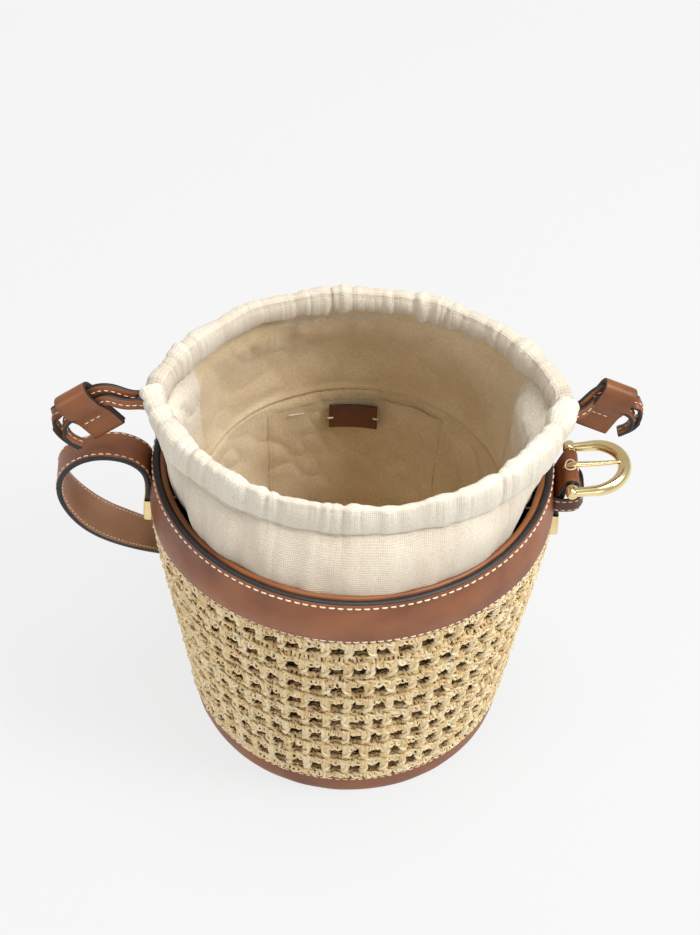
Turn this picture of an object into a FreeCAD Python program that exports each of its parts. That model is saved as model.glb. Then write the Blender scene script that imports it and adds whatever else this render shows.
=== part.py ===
import FreeCAD, Part
import math
import os
import re

import Sketcher

# Bucket bag: a round crocheted raffia body with leather trims, a gathered linen collar closed by two
# leather drawstrings, a leather shoulder strap on the left and a chape with a brass buckle on the right.
# Millimetres. The origin is the centre of the base on the floor, +Z up, +X towards the buckle and
# +Y towards the back.

DOC = FreeCAD.newDocument("bucket_bag")

# ---------------------------------------------------------------- driving dimensions

DIMENSIONS = [
    ("base_radius", 84, "outer radius of the body at the floor"),
    ("rim_radius", 100, "outer radius of the body at the rim"),
    ("body_height", 176, "floor to rim"),
    ("leather_gauge", 2.8, "top band and base band leather"),
    ("wall_gauge", 5, "crocheted raffia wall"),
    ("band_height", 32, "top band"),
    ("band_belly", 1.2, "how far the top band stands out of the straight cone at its lower edge"),
    ("base_band_height", 13.5, "base band"),
    ("facing_gauge", 1.6, "leather strip inside the raffia behind the top band"),
    ("facing_drop", 50, "how far the facing reaches below the rim"),
    ("piping_radius", 2.2, "rolled leather piping inside the rim"),
    ("thread_radius", 0.4, "saddle stitching thread"),
    ("stitch_inset", 2.3, "stitch line to leather edge"),
    ("linen_gauge", 1, "linen with its interlining"),
    ("lining_base_radius", 74.5, "lining at the bottom"),
    ("lining_seam_radius", 80, "lining at the horizontal seam"),
    ("lining_seam_height", 140, "height of the horizontal seam"),
    ("panel_gauge", 2.5, "base leather"),
    ("board_gauge", 1.6, "stiffening board"),
    ("fitting_line", -5, "Y of the side seams, caps, strap and chape"),
    ("mouth_half", 108, "half of the mouth's length, tip to tip"),
    ("mouth_shift", 2.5, "X of the mouth's centre"),
    ("mouth_line", -4, "Y of the line through the mouth's two tips"),
    ("front_sagitta", 70, "mouth's tip line to the front of the front casing"),
    ("back_sagitta", 76, "mouth's tip line to the back of the back casing"),
    ("mouth_top", 223, "top of the casings"),
    ("casing_height", 19, "casing, top to seam"),
    ("casing_depth", 8, "casing, outside to inside"),
    ("collar_foot", 170, "where the collar is sewn in under the piping"),
    ("collar_foot_radius", 89.5, "collar radius there"),
    ("string_width", 7, "drawstring strip"),
    ("string_gauge", 1.6, "drawstring strip"),
    ("slider_length", 18, "slider along the drawstrings"),
    ("slider_drop", 30, "slider, fold to tail end"),
    ("slider_wall", 1.5, "slider leather"),
    ("slider_gap", 4.8, "inside width of the slider's fold"),
    ("slider_room", 9.4, "inside height of the slider's fold"),
    ("strap_width", 22, "shoulder strap and chape"),
    ("strap_ply", 1.45, "one of the strap's two leather layers"),
    ("strap_glue", 0.1, "between the strap's two layers"),
    ("chape_ply", 1.5, "chape leather"),
    ("cap_inside", 101, "X of the cap's flat back"),
    ("cap_gauge", 4.3, "cap, back to front"),
    ("cap_width", 23.6, "cap along Y"),
    ("cap_bottom", 138, "height of the cap's lower edge"),
    ("cap_height", 14.2, "cap"),
    ("screw_radius", 1.2, "cap screws"),
    ("screw_offset", 6, "screws each side of the fitting line"),
    ("screw_height", 149.2, "height of the screws"),
    ("plate_x", 85.6, "X of the backing plate's outer face"),
    ("plate_gauge", 1.2, "backing plate"),
    ("bar_x", 109.6, "X of the buckle's bar"),
    ("bar_height", 172.5, "height of the buckle's bar"),
    ("bar_radius", 2.2, "buckle bar"),
    ("bar_play", 0.08, "radial clearance on the bar"),
    ("arm_spacing", 31, "between the centrelines of the buckle's arms"),
    ("arm_radius", 2.4, "buckle arms"),
    ("bow_radius", 3.2, "thickest section of the bow"),
    ("arm_length", 11.6, "bar to the centre of the bow"),
    ("lug_radius", 3.3, "buckle lugs"),
    ("buckle_tilt", 10, "the buckle points up by this angle at rest"),
    ("prong_radius", 1.3, "buckle prong"),
    ("prong_width", 3.4, "prong's eye along the bar"),
    ("keeper_wall", 1.3, "keeper loop leather"),
    ("keeper_height", 9.4, "keeper loop"),
    ("keeper_bottom", 152.5, "height of the keeper's lower edge, just above the cap"),
    ("keeper_reach", 18.6, "keeper, back to front"),
    ("keeper_width", 25.2, "keeper along Y"),
]

SHEET = DOC.addObject("Spreadsheet::Sheet", "Sheet")
for row, (alias, number, meaning) in enumerate(DIMENSIONS, start=1):
    SHEET.set(f"A{row}", str(number))
    SHEET.setAlias(f"A{row}", alias)
    SHEET.set(f"B{row}", meaning)
DOC.recompute()

ALIASES = {alias for alias, _, _ in DIMENSIONS}


def bound(expression):
    """The expression with every driving dimension written as a reference to the sheet."""
    return re.sub(r"[a-z_]+", lambda m: f"Sheet.{m[0]}" if m[0] in ALIASES else m[0], str(expression))


def size(expression):
    """The expression's value in millimetres or degrees."""
    return float(SHEET.evalExpression(bound(expression)))


PARTS = {}


def keep(node, thing):
    thing.Label = node
    PARTS[node] = thing
    return thing


# ---------------------------------------------------------------- sketch and body helpers

def new_body(node):
    return keep(node, DOC.addObject("PartDesign::Body", node + "_body"))


def sketch_on(body, plane, name, offset=None):
    """A sketch on one of the body's own origin planes, lifted off it by offset."""
    sketch = body.newObject("Sketcher::SketchObject", name)
    origin_plane = [f for f in body.Origin.OriginFeatures if f.Role == plane][0]
    sketch.AttachmentSupport = [(origin_plane, "")]
    sketch.MapMode = "FlatFace"
    if offset is not None:
        sketch.setExpression("AttachmentOffset.Base.z", bound(offset))
    return sketch


def hold_point(sketch, edge, end, x, y):
    """Ties one point of the sketch to a place given by two expressions."""
    for kind, expression in (("DistanceX", x), ("DistanceY", y)):
        number = sketch.addConstraint(Sketcher.Constraint(kind, -1, 1, edge, end, size(expression)))
        sketch.setExpression(f"Constraints[{number}]", bound(expression))


def add_polygon(sketch, corners):
    """A closed outline with straight sides; each corner is a pair of expressions."""
    places = [FreeCAD.Vector(size(x), size(y), 0) for x, y in corners]
    first = sketch.GeometryCount
    count = len(corners)
    for i in range(count):
        sketch.addGeometry(Part.LineSegment(places[i], places[(i + 1) % count]))
    for i in range(count):
        following = first + (i + 1) % count
        sketch.addConstraint(Sketcher.Constraint("Coincident", first + i, 2, following, 1))
    for i, (x, y) in enumerate(corners):
        hold_point(sketch, first + i, 1, x, y)


def add_circle(sketch, x, y, radius):
    centre = FreeCAD.Vector(size(x), size(y), 0)
    edge = sketch.addGeometry(Part.Circle(centre, FreeCAD.Vector(0, 0, 1), size(radius)))
    hold_point(sketch, edge, 3, x, y)
    number = sketch.addConstraint(Sketcher.Constraint("Radius", edge, size(radius)))
    sketch.setExpression(f"Constraints[{number}]", bound(radius))


def pad(body, sketch, length, both_ways=False):
    feature = body.newObject("PartDesign::Pad", sketch.Name + "_pad")
    feature.Profile = sketch
    if both_ways:
        feature.SideType = "Symmetric"
    feature.setExpression("Length", bound(length))
    return feature


def drill(body, sketch):
    """Cuts the sketch through the whole body, both ways."""
    DOC.recompute()
    before = body.Shape.Volume
    feature = body.newObject("PartDesign::Pocket", sketch.Name + "_cut")
    feature.Profile = sketch
    feature.SideType = "Symmetric"
    feature.Type = "ThroughAll"
    DOC.recompute()
    if body.Shape.Volume > before - 0.1:
        raise ValueError(f"{sketch.Name} cuts nothing out of {body.Label}")


def turned(node, corners, angle=None):
    """A body made by turning a profile in the XZ plane about Z, all the way or evenly about +X."""
    body = new_body(node)
    profile = sketch_on(body, "XZ_Plane", node + "_profile")
    add_polygon(profile, corners)
    feature = body.newObject("PartDesign::Revolution", node + "_turn")
    feature.Profile = profile
    feature.ReferenceAxis = (profile, ["V_Axis"])
    if angle is None:
        feature.Angle = 360
    else:
        feature.Midplane = True
        feature.setExpression("Angle", bound(angle))
    return body


def turn_about_z(thing, degrees, x=0.0, y=0.0):
    thing.Placement = FreeCAD.Placement(
        FreeCAD.Vector(x, y, 0), FreeCAD.Rotation(FreeCAD.Vector(0, 0, 1), degrees))


def cone(height):
    """Outer radius of the plain cone at a height, as an expression."""
    return f"(base_radius + (rim_radius - base_radius) * ({height}) / body_height)"


def solid_shape(node, shape):
    """A sub-part whose shape follows free curves."""
    feature = DOC.addObject("Part::Feature", node + "_shape")
    feature.Shape = shape
    return keep(node, feature)


# ---------------------------------------------------------------- base

def make_base():
    panel = new_body("base_panel")
    outline = sketch_on(panel, "XY_Plane", "base_panel_outline")
    add_circle(outline, 0, 0, "base_radius - leather_gauge - 0.2")
    pad(panel, outline, "panel_gauge")

    board = DOC.addObject("Part::Cylinder", "base_board_disc")
    board.setExpression("Radius", bound("base_radius - leather_gauge - wall_gauge - 1"))
    board.setExpression("Height", bound("board_gauge"))
    board.setExpression("Placement.Base.z", bound("panel_gauge + 0.1"))
    keep("base_board", board)

    top = "base_band_height"
    turned("base_band", [
        ("base_radius - leather_gauge", 0),
        ("base_radius", 0),
        (cone(top), top),
        (cone(top) + " - leather_gauge", top),
    ])
    add_thread("base_thread", f"{cone(top)} + thread_radius - 0.15", f"{top} - stitch_inset")


def add_thread(node, radius, height):
    """One closed line of stitching thread lying on the leather."""
    ring = DOC.addObject("Part::Torus", node + "_ring")
    ring.setExpression("Radius1", bound(radius))
    ring.setExpression("Radius2", bound("thread_radius"))
    ring.setExpression("Placement.Base.z", bound(height))
    keep(node, ring)


# ---------------------------------------------------------------- raffia wall, top band and rim

def add_screw_holes(body, places, node):
    """Holes along the body's own Y axis at the screws' height; places are along its own X axis."""
    holes = sketch_on(body, "XZ_Plane", node + "_holes")
    for place in places:
        add_circle(holes, place, "screw_height", "screw_radius + 0.2")
    drill(body, holes)


def make_wall():
    skin = "(leather_gauge + 0.1)"
    foot = "panel_gauge + 0.2"
    top = "body_height - 4.3"
    # The wall is built a quarter turn round, so that the screw holes lie along its own Y axis.
    wall = turned("raffia_wall", [
        (f"{cone(foot)} - {skin} - wall_gauge", foot),
        (f"{cone(foot)} - {skin}", foot),
        (f"{cone(top)} - {skin}", top),
        (f"{cone(top)} - {skin} - wall_gauge", top),
    ])
    add_screw_holes(wall, ["fitting_line - screw_offset", "fitting_line + screw_offset"], "raffia_wall")
    turn_about_z(wall, 90)

    inside = "(leather_gauge + wall_gauge + 0.2)"
    low = "(body_height - facing_drop)"
    high = "body_height - 8"
    facing = turned("band_facing", [
        (f"{cone(low)} - {inside} - facing_gauge", low),
        (f"{cone(low)} - {inside}", low),
        (f"{cone(high)} - {inside}", high),
        (f"{cone(high)} - {inside} - facing_gauge", high),
    ])
    add_screw_holes(facing, ["fitting_line - screw_offset", "fitting_line + screw_offset"], "band_facing")
    turn_about_z(facing, 90)


def make_top_band():
    """Front and back halves that meet at the fitting line, under the strap and under the chape."""
    low = "(body_height - band_height)"
    middle = "(body_height - band_height / 2)"
    seam = "asin(-fitting_line / rim_radius)"
    halves = (
        ("top_band_front", f"180 deg - 2 * {seam} - 0.3 deg", -90, "screw_offset - fitting_line"),
        ("top_band_back", f"180 deg + 2 * {seam} - 0.3 deg", 90, "fitting_line + screw_offset"),
    )
    for node, angle, quarter_turn, hole in halves:
        half = turned(node, [
            (f"{cone(low)} - leather_gauge", low),
            (f"{cone(low)} + band_belly", low),
            (f"{cone(middle)} + band_belly * 0.9", middle),
            ("rim_radius", "body_height"),
            ("rim_radius - leather_gauge", "body_height"),
        ], angle)
        add_screw_holes(half, [hole], node)
        turn_about_z(half, quarter_turn)

    add_thread("rim_thread_top", "rim_radius + thread_radius + 0.15", "body_height - stitch_inset")
    add_thread("rim_thread_bottom", f"{cone(low)} + band_belly + thread_radius + 0.45",
               f"{low} + stitch_inset - 0.4")

    piping = DOC.addObject("Part::Torus", "rim_piping_ring")
    piping.setExpression("Radius1", bound("rim_radius - leather_gauge - piping_radius - 0.4"))
    piping.setExpression("Radius2", bound("piping_radius"))
    piping.setExpression("Placement.Base.z", bound("body_height - 1.6"))
    keep("rim_piping", piping)


# ---------------------------------------------------------------- lining

def make_lining():
    foot = "(panel_gauge + board_gauge + 0.3)"
    bottom = new_body("lining_bottom")
    outline = sketch_on(bottom, "XY_Plane", "lining_bottom_outline", foot)
    add_circle(outline, 0, 0, "lining_base_radius + 1")
    pad(bottom, outline, "linen_gauge")

    low = f"{foot} + linen_gauge + 0.1"
    turned("lining_lower", [
        ("lining_base_radius - linen_gauge", low),
        ("lining_base_radius", low),
        ("lining_seam_radius", "lining_seam_height"),
        ("lining_seam_radius - linen_gauge", "lining_seam_height"),
    ])

    # A slip pocket on the back of the lining, open at the top.
    pocket = turned("inner_pocket", [
        ("lining_base_radius - 0.2", 56),
        ("lining_base_radius + 0.8", 56),
        ("lining_base_radius + 3.8", 134.5),
        ("lining_base_radius + 2.8", 134.5),
    ], "72 deg")
    turn_about_z(pocket, 90)

    label = new_body("label_patch")
    face = sketch_on(label, "XZ_Plane", "label_outline")
    add_polygon(face, [(-13, 116.5), (13, 116.5), (13, 132.5), (-13, 132.5)])
    pad(label, face, 1.2)
    # A pad on the XZ plane grows towards -Y, so the label's back is at this Y.
    label.setExpression("Placement.Base.y", bound("lining_base_radius + 0.7"))


def arc_radius(sagitta):
    return (size("mouth_half") ** 2 + sagitta ** 2) / (2 * sagitta)


def lens(height, inset):
    """The mouth's outline at a height, moved in by inset: a front arc and a back arc with blunt tips."""
    line, shift = size("mouth_line"), size("mouth_shift")
    points = []
    for sign, sagitta in ((-1, size("front_sagitta")), (1, size("back_sagitta"))):
        radius = arc_radius(sagitta)
        centre = line + sign * (sagitta - radius)
        reach = math.acos(min(1.0, abs(line + sign * 5 - centre) / (radius - inset)))
        for k in range(13):
            angle = reach * (-1 + k / 6)
            x = shift + (radius - inset) * math.sin(angle) * -sign
            points.append(FreeCAD.Vector(x, centre + sign * (radius - inset) * math.cos(angle), height))
    curve = Part.BSplineCurve()
    curve.interpolate(Points=points, PeriodicFlag=True)
    return Part.Wire(curve.toShape())


def round_section(radius, height):
    """A circle made like the lens, starting at the same place, so that a loft between them is even."""
    points = []
    for k in range(26):
        angle = math.radians(180 + (k + 0.5) * 360 / 26)
        points.append(FreeCAD.Vector(radius * math.cos(angle), radius * math.sin(angle), height))
    curve = Part.BSplineCurve()
    curve.interpolate(Points=points, PeriodicFlag=True)
    return Part.Wire(curve.toShape())


def flared_shell(rounds, top, inset):
    """Cloth from one or more round sections (radius, height) up to the mouth's outline, one gauge thick."""
    gauge = size("linen_gauge")
    outside = [round_section(radius, height) for radius, height in rounds] + [lens(top, inset)]
    inside = [round_section(radius - gauge, height) for radius, height in rounds]
    inside.append(lens(top, inset + gauge))
    return Part.makeLoft(outside, True, True).cut(Part.makeLoft(inside, True, True))


def half_space(front):
    """A block that holds everything in front of the mouth's tip line, or behind it."""
    reach = 200
    gap = 0.15
    line = size("mouth_line")
    y = line - gap - reach if front else line + gap
    return Part.makeBox(2 * reach, reach, 2 * reach, FreeCAD.Vector(-reach, y, 0))


def make_collar():
    """The outer cloth in two panels, the lining's upper part and the two casings on top."""
    foot, radius = size("collar_foot"), size("collar_foot_radius")
    top = size("mouth_top - casing_height - 0.2")
    cloth = flared_shell([(radius, foot)], top, 0.5)
    solid_shape("collar_front", cloth.common(half_space(True)))
    solid_shape("collar_back", cloth.common(half_space(False)))
    seam, waist = size("lining_seam_height") + 0.2, foot - 2
    lining = [(size("lining_seam_radius"), seam), (size("lining_seam_radius") + 4, waist)]
    solid_shape("lining_upper", flared_shell(lining, top, size("casing_depth - linen_gauge - 0.5")))

    for node, sign, sagitta in (("casing_front", -1, "front_sagitta"), ("casing_back", 1, "back_sagitta")):
        make_casing(node, sign, sagitta)


def make_casing(node, sign, sagitta):
    """A flat cloth tube that follows its arc of the mouth and is open at both tips."""
    radius = f"((mouth_half * mouth_half + {sagitta} * {sagitta}) / (2 * {sagitta}))"
    inner = f"({radius} - casing_depth)"
    low, high, cloth = "(mouth_top - casing_height)", "mouth_top", "linen_gauge"
    body = new_body(node)
    section = sketch_on(body, "XZ_Plane", node + "_section")
    add_polygon(section, [(inner, low), (radius, low), (radius, high), (inner, high)])
    add_polygon(section, [
        (f"{inner} + {cloth}", f"{low} + {cloth}"), (f"{radius} - {cloth}", f"{low} + {cloth}"),
        (f"{radius} - {cloth}", f"{high} - {cloth}"), (f"{inner} + {cloth}", f"{high} - {cloth}")])
    turn = body.newObject("PartDesign::Revolution", node + "_turn")
    turn.Profile = section
    turn.ReferenceAxis = (section, ["V_Axis"])
    turn.Midplane = True
    turn.setExpression("Angle", bound(f"2 * acos(({radius} - {sagitta} + 0.6) / {inner})"))
    centre_y = size("mouth_line") + sign * (size(sagitta) - size(radius))
    turn_about_z(body, 90 * sign, size("mouth_shift"), centre_y)


# ---------------------------------------------------------------- leather strips along free curves

def smooth(points, count):
    """Points evenly spaced in parameter along a smooth curve through the given ones, with tangents."""
    curve = Part.BSplineCurve()
    curve.interpolate(Points=points)
    first, last = curve.FirstParameter, curve.LastParameter
    steps = [first + (last - first) * i / (count - 1) for i in range(count)]
    return [curve.value(s) for s in steps], [curve.tangent(s)[0] for s in steps]


def strip(edges, gauge, offset, count):
    """A flat strip between two edge curves, gauge thick and moved offset along its own normal."""
    one, one_way = smooth([FreeCAD.Vector(*a) for a, _ in edges], count)
    two, _ = smooth([FreeCAD.Vector(*b) for _, b in edges], count)
    sections = []
    length = 0.0
    last_middle = None
    for a, b, along in zip(one, two, one_way):
        across = (b - a).normalize()
        normal = along.cross(across).normalize()
        low = normal * (offset - gauge / 2)
        high = normal * (offset + gauge / 2)
        sections.append(Part.makePolygon([a + low, b + low, b + high, a + high, a + low]))
        middle = (a + b) * 0.5
        if last_middle is not None:
            length += (middle - last_middle).Length
        last_middle = middle
    return Part.makeLoft(sections, True, True), length


def of_width(edges, width):
    """The same pairs of edge points, moved along their own line until they are one width apart."""
    out = []
    for a, b in edges:
        start, end = FreeCAD.Vector(*a), FreeCAD.Vector(*b)
        middle, half = (start + end) * 0.5, (end - start).normalize() * (width / 2)
        out.append((tuple(middle - half), tuple(middle + half)))
    return out


# Each pair is the strap's front edge and back edge, from its cap over the side loop and down behind
# the bag, where it stands on its edge and lies in one loose turn.
STRAP_EDGES = [
    ((-103.15, -16, 139), (-103.15, 6, 139)),
    ((-103.15, -16, 144), (-103.15, 6, 144)),
    ((-103.15, -16, 149), (-103.15, 6, 149)),
    ((-103.15, -16, 154), (-103.15, 6, 154)),
    ((-102.9, -16, 162), (-102.9, 6, 160.5)),
    ((-104.7, -16, 172.2), (-104.5, 6, 169.6)),
    ((-110.5, -16, 178.6), (-110.5, 6, 175.2)),
    ((-118.5, -16, 181.6), (-119, 6, 178)),
    ((-127.5, -16, 181.6), (-128, 6, 176.8)),
    ((-136.9, -16, 177.9), (-137.5, 6, 173)),
    ((-143.9, -16, 170.8), (-145.3, 6, 167.4)),
    ((-147.8, -16, 160.5), (-149, 6, 160)),
    ((-147.6, -16, 150.4), (-148.2, 6, 152)),
    ((-144.3, -16, 140.2), (-144.8, 6, 145.2)),
    ((-138.4, -15.5, 129.4), (-139.4, 6, 138)),
    ((-130.6, -14, 119.8), (-132.6, 7, 130)),
    ((-121.2, -11.5, 111.2), (-125, 9, 122)),
    ((-111.6, -7.5, 102.6), (-117, 12, 114)),
    ((-103, -1, 92.6), (-110.4, 16.5, 105)),
    ((-96.8, 8.5, 80), (-104.4, 23, 95.6)),
    ((-91.5, 21, 65), (-98.4, 33, 83.6)),
    ((-85, 37, 49), (-91, 45.5, 69.6)),
    ((-75.5, 55, 33), (-80, 60.5, 54)),
    ((-61.5, 74, 18.5), (-64.5, 77.5, 40)),
    ((-43, 91, 7), (-44.5, 93, 29)),
    ((-21, 103, 1.4), (-21.5, 104, 23.4)),
    ((4, 111, 0.4), (4, 111.4, 22.4)),
    ((29, 119, 0.4), (29, 119, 22.4)),
    ((53, 131, 0.4), (53, 131, 22.4)),
    ((71, 149, 0.4), (71, 149, 22.4)),
    ((77, 171, 0.4), (77, 171, 22.4)),
    ((66, 191, 0.4), (66, 191, 22.4)),
    ((43, 203, 0.4), (43, 203, 22.4)),
    ((14, 207, 0.4), (14, 207, 22.4)),
    ((-17, 205, 0.4), (-17, 205, 22.4)),
    ((-45, 197, 0.4), (-45, 197, 22.4)),
    ((-65, 181, 0.4), (-65, 181, 22.4)),
    ((-69, 160, 0.4), (-69, 160, 22.4)),
    ((-55, 145, 0.4), (-55, 145, 22.4)),
    ((-32, 142, 0.4), (-32, 142, 22.4)),
    ((-7, 146, 0.4), (-7, 146, 22.4)),
    ((18, 153, 0.4), (18, 153, 22.4)),
    ((40, 163, 0.4), (40, 163, 22.4)),
]


def make_strap():
    """Two leather layers glued and stitched together."""
    ply = size("strap_ply")
    lift = (ply + size("strap_glue")) / 2
    edges = of_width(STRAP_EDGES, size("strap_width"))
    for node, offset in (("strap_outer", -lift), ("strap_lining", lift)):
        shape, length = strip(edges, ply, offset, 150)
        holes = strap_holes(edges)
        if node == "strap_outer":
            print(f"shoulder strap: {length:.0f} mm long")
        solid_shape(node, shape.cut(holes))


def strap_holes(edges):
    """The buckle holes, on the strap's middle line near its free end, and the two cap screws."""
    free_end = [(FreeCAD.Vector(*a) + FreeCAD.Vector(*b)) * 0.5 for a, b in edges[-4:]]
    holes = []
    for here, there in zip(free_end[:-1], free_end[1:]):
        along = (there - here).normalize()
        normal = along.cross(FreeCAD.Vector(0, 0, 1)).normalize()
        for share in (0.25, 0.75):
            centre = here + (there - here) * share
            holes.append(Part.makeCylinder(1.6, 12, centre - normal * 6, normal))
    for side in (-1, 1):
        y = size("fitting_line") + side * size("screw_offset")
        start = FreeCAD.Vector(-110, y, size("screw_height"))
        holes.append(Part.makeCylinder(size("screw_radius") + 0.2, 14, start, FreeCAD.Vector(1, 0, 0)))
    return Part.makeCompound(holes)


# The free part of each drawstring outside the casing: over to the slider, straight through it and
# down in a short tail. Both strings follow the same line, side by side.
LEFT_TAIL = [
    (-106, -4.6, 214.6), (-112.5, -5.8, 217), (-118.5, -6, 219.8), (-124.6, -6, 219.8), (-129.7, -6, 216.95),
    (-134.5, -6, 213.2), (-139.2, -6, 209.5), (-143.9, -6, 205.8), (-148.7, -6, 202.05), (-152.4, -6.2, 197), (-152.4, -7, 190.8),
    (-148, -8, 185.4), (-141.6, -9, 182),
]
RIGHT_TAIL = [
    (108.6, -4, 214.6), (112.6, -3.2, 218.2), (116.6, -1.4, 222), (121.4, 0, 223.88), (125.7, 0, 221.89),
    (130, 0, 219.9), (135.5, 0, 217.36), (140.9, 0, 214.86), (145.2, 0, 210.6), (146, -0.3, 204.9), (142.9, -0.7, 199.6),
    (137.6, -1, 197),
]


def string_line(sign, sagitta):
    """The middle line of one drawstring, from its left tail's end to its right tail's end."""
    radius = arc_radius(sagitta)
    middle = radius - size("casing_depth") / 2
    centre = size("mouth_line") + sign * (sagitta - radius)
    height = size("mouth_top - casing_height / 2")
    beside = sign * (size("string_gauge") / 2 + 0.25)
    apart = [1.5, 1.6, 1.2]
    reach = math.acos((abs(size("mouth_line") - centre) + 4.5) / middle)
    arc = []
    for k in range(15):
        angle = reach * (-1 + k / 7)
        arc.append((size("mouth_shift") + middle * math.sin(angle), centre + sign * middle * math.cos(angle),
                    height))
    left, right = [
        [(x, y + beside * (apart[i] if i < len(apart) else 1), z) for i, (x, y, z) in enumerate(tail)]
        for tail in (LEFT_TAIL, RIGHT_TAIL)]
    left.reverse()
    return left + arc + right


def make_drawstrings():
    half = size("string_width") / 2
    for node, sign, name in (("drawstring_front", -1, "front_sagitta"), ("drawstring_back", 1, "back_sagitta")):
        line = string_line(sign, size(name))
        centres, ways = smooth([FreeCAD.Vector(*p) for p in line], 220)
        sideways = FreeCAD.Vector(0, 1, 0)
        sections = []
        length = 0.0
        for i, (centre, way) in enumerate(zip(centres, ways)):
            # The strip's width stands upright and square to its own direction.
            normal = FreeCAD.Vector(-way.y, way.x, 0)
            normal = normal.normalize() if normal.Length > 0.35 else sideways
            up = way.cross(normal).normalize()
            up = up if up.z > 0 or abs(up.z) < 0.2 and up.x * way.z < 0 else up * -1
            normal = up.cross(way).normalize()
            thin = normal * (size("string_gauge") / 2)
            corners = [centre + up * half + thin, centre + up * half - thin,
                       centre - up * half - thin, centre - up * half + thin]
            sections.append(corners)
            length += (centre - centres[i - 1]).Length if i else 0.0
        wires = [Part.makePolygon(c + [c[0]]) for c in sections]
        print(f"{node}: {length:.0f} mm long")
        solid_shape(node, Part.makeLoft(wires, True, True))


def make_sliders():
    """A leather strip folded over both drawstrings and stitched to itself below them."""
    for node, start, end in (("slider_left", LEFT_TAIL[5], LEFT_TAIL[7]),
                             ("slider_right", RIGHT_TAIL[4], RIGHT_TAIL[6])):
        body = new_body(node)
        outline = sketch_on(body, "YZ_Plane", node + "_outline")
        fold, room, wall = "slider_gap / 2", "slider_room / 2", "slider_wall"
        tail = "slider_drop - slider_room / 2 - slider_wall"
        add_polygon(outline, [
            (f"-{fold} - {wall}", f"-{room}"), (f"-{fold} - {wall}", room),
            (f"-{fold}", f"{room} + {wall}"), (fold, f"{room} + {wall}"),
            (f"{fold} + {wall}", room), (f"{fold} + {wall}", f"-{room}"),
            (wall, f"-{room} - 4"), (wall, f"-({tail})"), (f"-{wall}", f"-({tail})"),
            (f"-{wall}", f"-{room} - 4")])
        add_polygon(outline, [
            (f"-{fold}", f"-{room}"), (f"-{fold}", room), (fold, room), (fold, f"-{room}")])
        pad(body, outline, "slider_length", both_ways=True)
        along = FreeCAD.Vector(*end) - FreeCAD.Vector(*start)
        middle = FreeCAD.Vector(*start) + along * (4.3 / along.Length) if along.x > 0 else (
            FreeCAD.Vector(*end) + FreeCAD.Vector(*start)) * 0.5
        # Tilted about Y, so that the slider's length lies along the strings.
        droop = math.degrees(math.atan2(-along.z, abs(along.x)))
        turn = droop if along.x > 0 else -droop
        body.Placement = FreeCAD.Placement(middle, FreeCAD.Rotation(FreeCAD.Vector(0, 1, 0), turn))


# ---------------------------------------------------------------- caps, screws and backing plates

def make_side_fixings():
    """The same cap, screws and plate on each side: on the left for the strap, on the right for the chape."""
    for side, name, slot in ((-1, "strap", "2 * strap_ply + strap_glue"), (1, "chape", "2 * chape_ply + 0.1")):
        make_cap(name + "_cap", side, slot)
        make_screws(name + "_screws", side)
        make_plate(name + "_backing_plate", side)


def make_cap(node, side, slot):
    """A folded brass end cap, open at the top, where the leather goes in."""
    cap = new_body(node)
    outline = sketch_on(cap, "XY_Plane", node + "_outline", "cap_bottom")
    add_polygon(outline, [
        ("cap_inside", "-cap_width / 2"), ("cap_inside + cap_gauge", "-cap_width / 2"),
        ("cap_inside + cap_gauge", "cap_width / 2"), ("cap_inside", "cap_width / 2")])
    pad(cap, outline, "cap_height")
    mouth = sketch_on(cap, "XY_Plane", node + "_mouth", "cap_bottom + cap_height")
    play = f"(cap_gauge - ({slot}) - 0.2) / 2"
    half = "(strap_width / 2 + 0.1)"
    add_polygon(mouth, [
        (f"cap_inside + {play}", f"-{half}"), (f"cap_inside + cap_gauge - {play}", f"-{half}"),
        (f"cap_inside + cap_gauge - {play}", half), (f"cap_inside + {play}", half)])
    DOC.recompute()
    before = cap.Shape.Volume
    cut = cap.newObject("PartDesign::Pocket", node + "_slot")
    cut.Profile = mouth
    cut.setExpression("Length", bound("cap_height - 0.6"))
    DOC.recompute()
    if cap.Shape.Volume > before - 1:
        raise ValueError(f"{node} has no slot")
    holes = sketch_on(cap, "YZ_Plane", node + "_holes", "cap_inside + cap_gauge - 0.5")
    for step in ("-screw_offset", "screw_offset"):
        add_circle(holes, step, "screw_height", "screw_radius + 0.05")
    before = cap.Shape.Volume
    blind = cap.newObject("PartDesign::Pocket", node + "_screw_holes")
    blind.Profile = holes
    blind.Length = 8
    DOC.recompute()
    if cap.Shape.Volume > before - 1:
        raise ValueError(f"{node} has no screw holes")
    place_on_side(cap, side)


def place_on_side(thing, side):
    """Right-hand pieces are built where they are; left-hand ones are turned half round."""
    turn_about_z(thing, 0 if side > 0 else 180, 0, size("fitting_line"))


def make_screws(node, side):
    """Two screws from inside the bag, through wall, band and leather into the cap."""
    body = new_body(node)
    shanks = sketch_on(body, "YZ_Plane", node + "_shanks", "plate_x - plate_gauge")
    heads = sketch_on(body, "YZ_Plane", node + "_heads", "plate_x - plate_gauge - 1")
    for step in ("-screw_offset", "screw_offset"):
        add_circle(shanks, step, "screw_height", "screw_radius")
        add_circle(heads, step, "screw_height", "screw_radius * 2")
    body.AllowCompound = True
    pad(body, shanks, "cap_inside + cap_gauge - 0.6 - (plate_x - plate_gauge)")
    pad(body, heads, 1)
    place_on_side(body, side)


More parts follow.
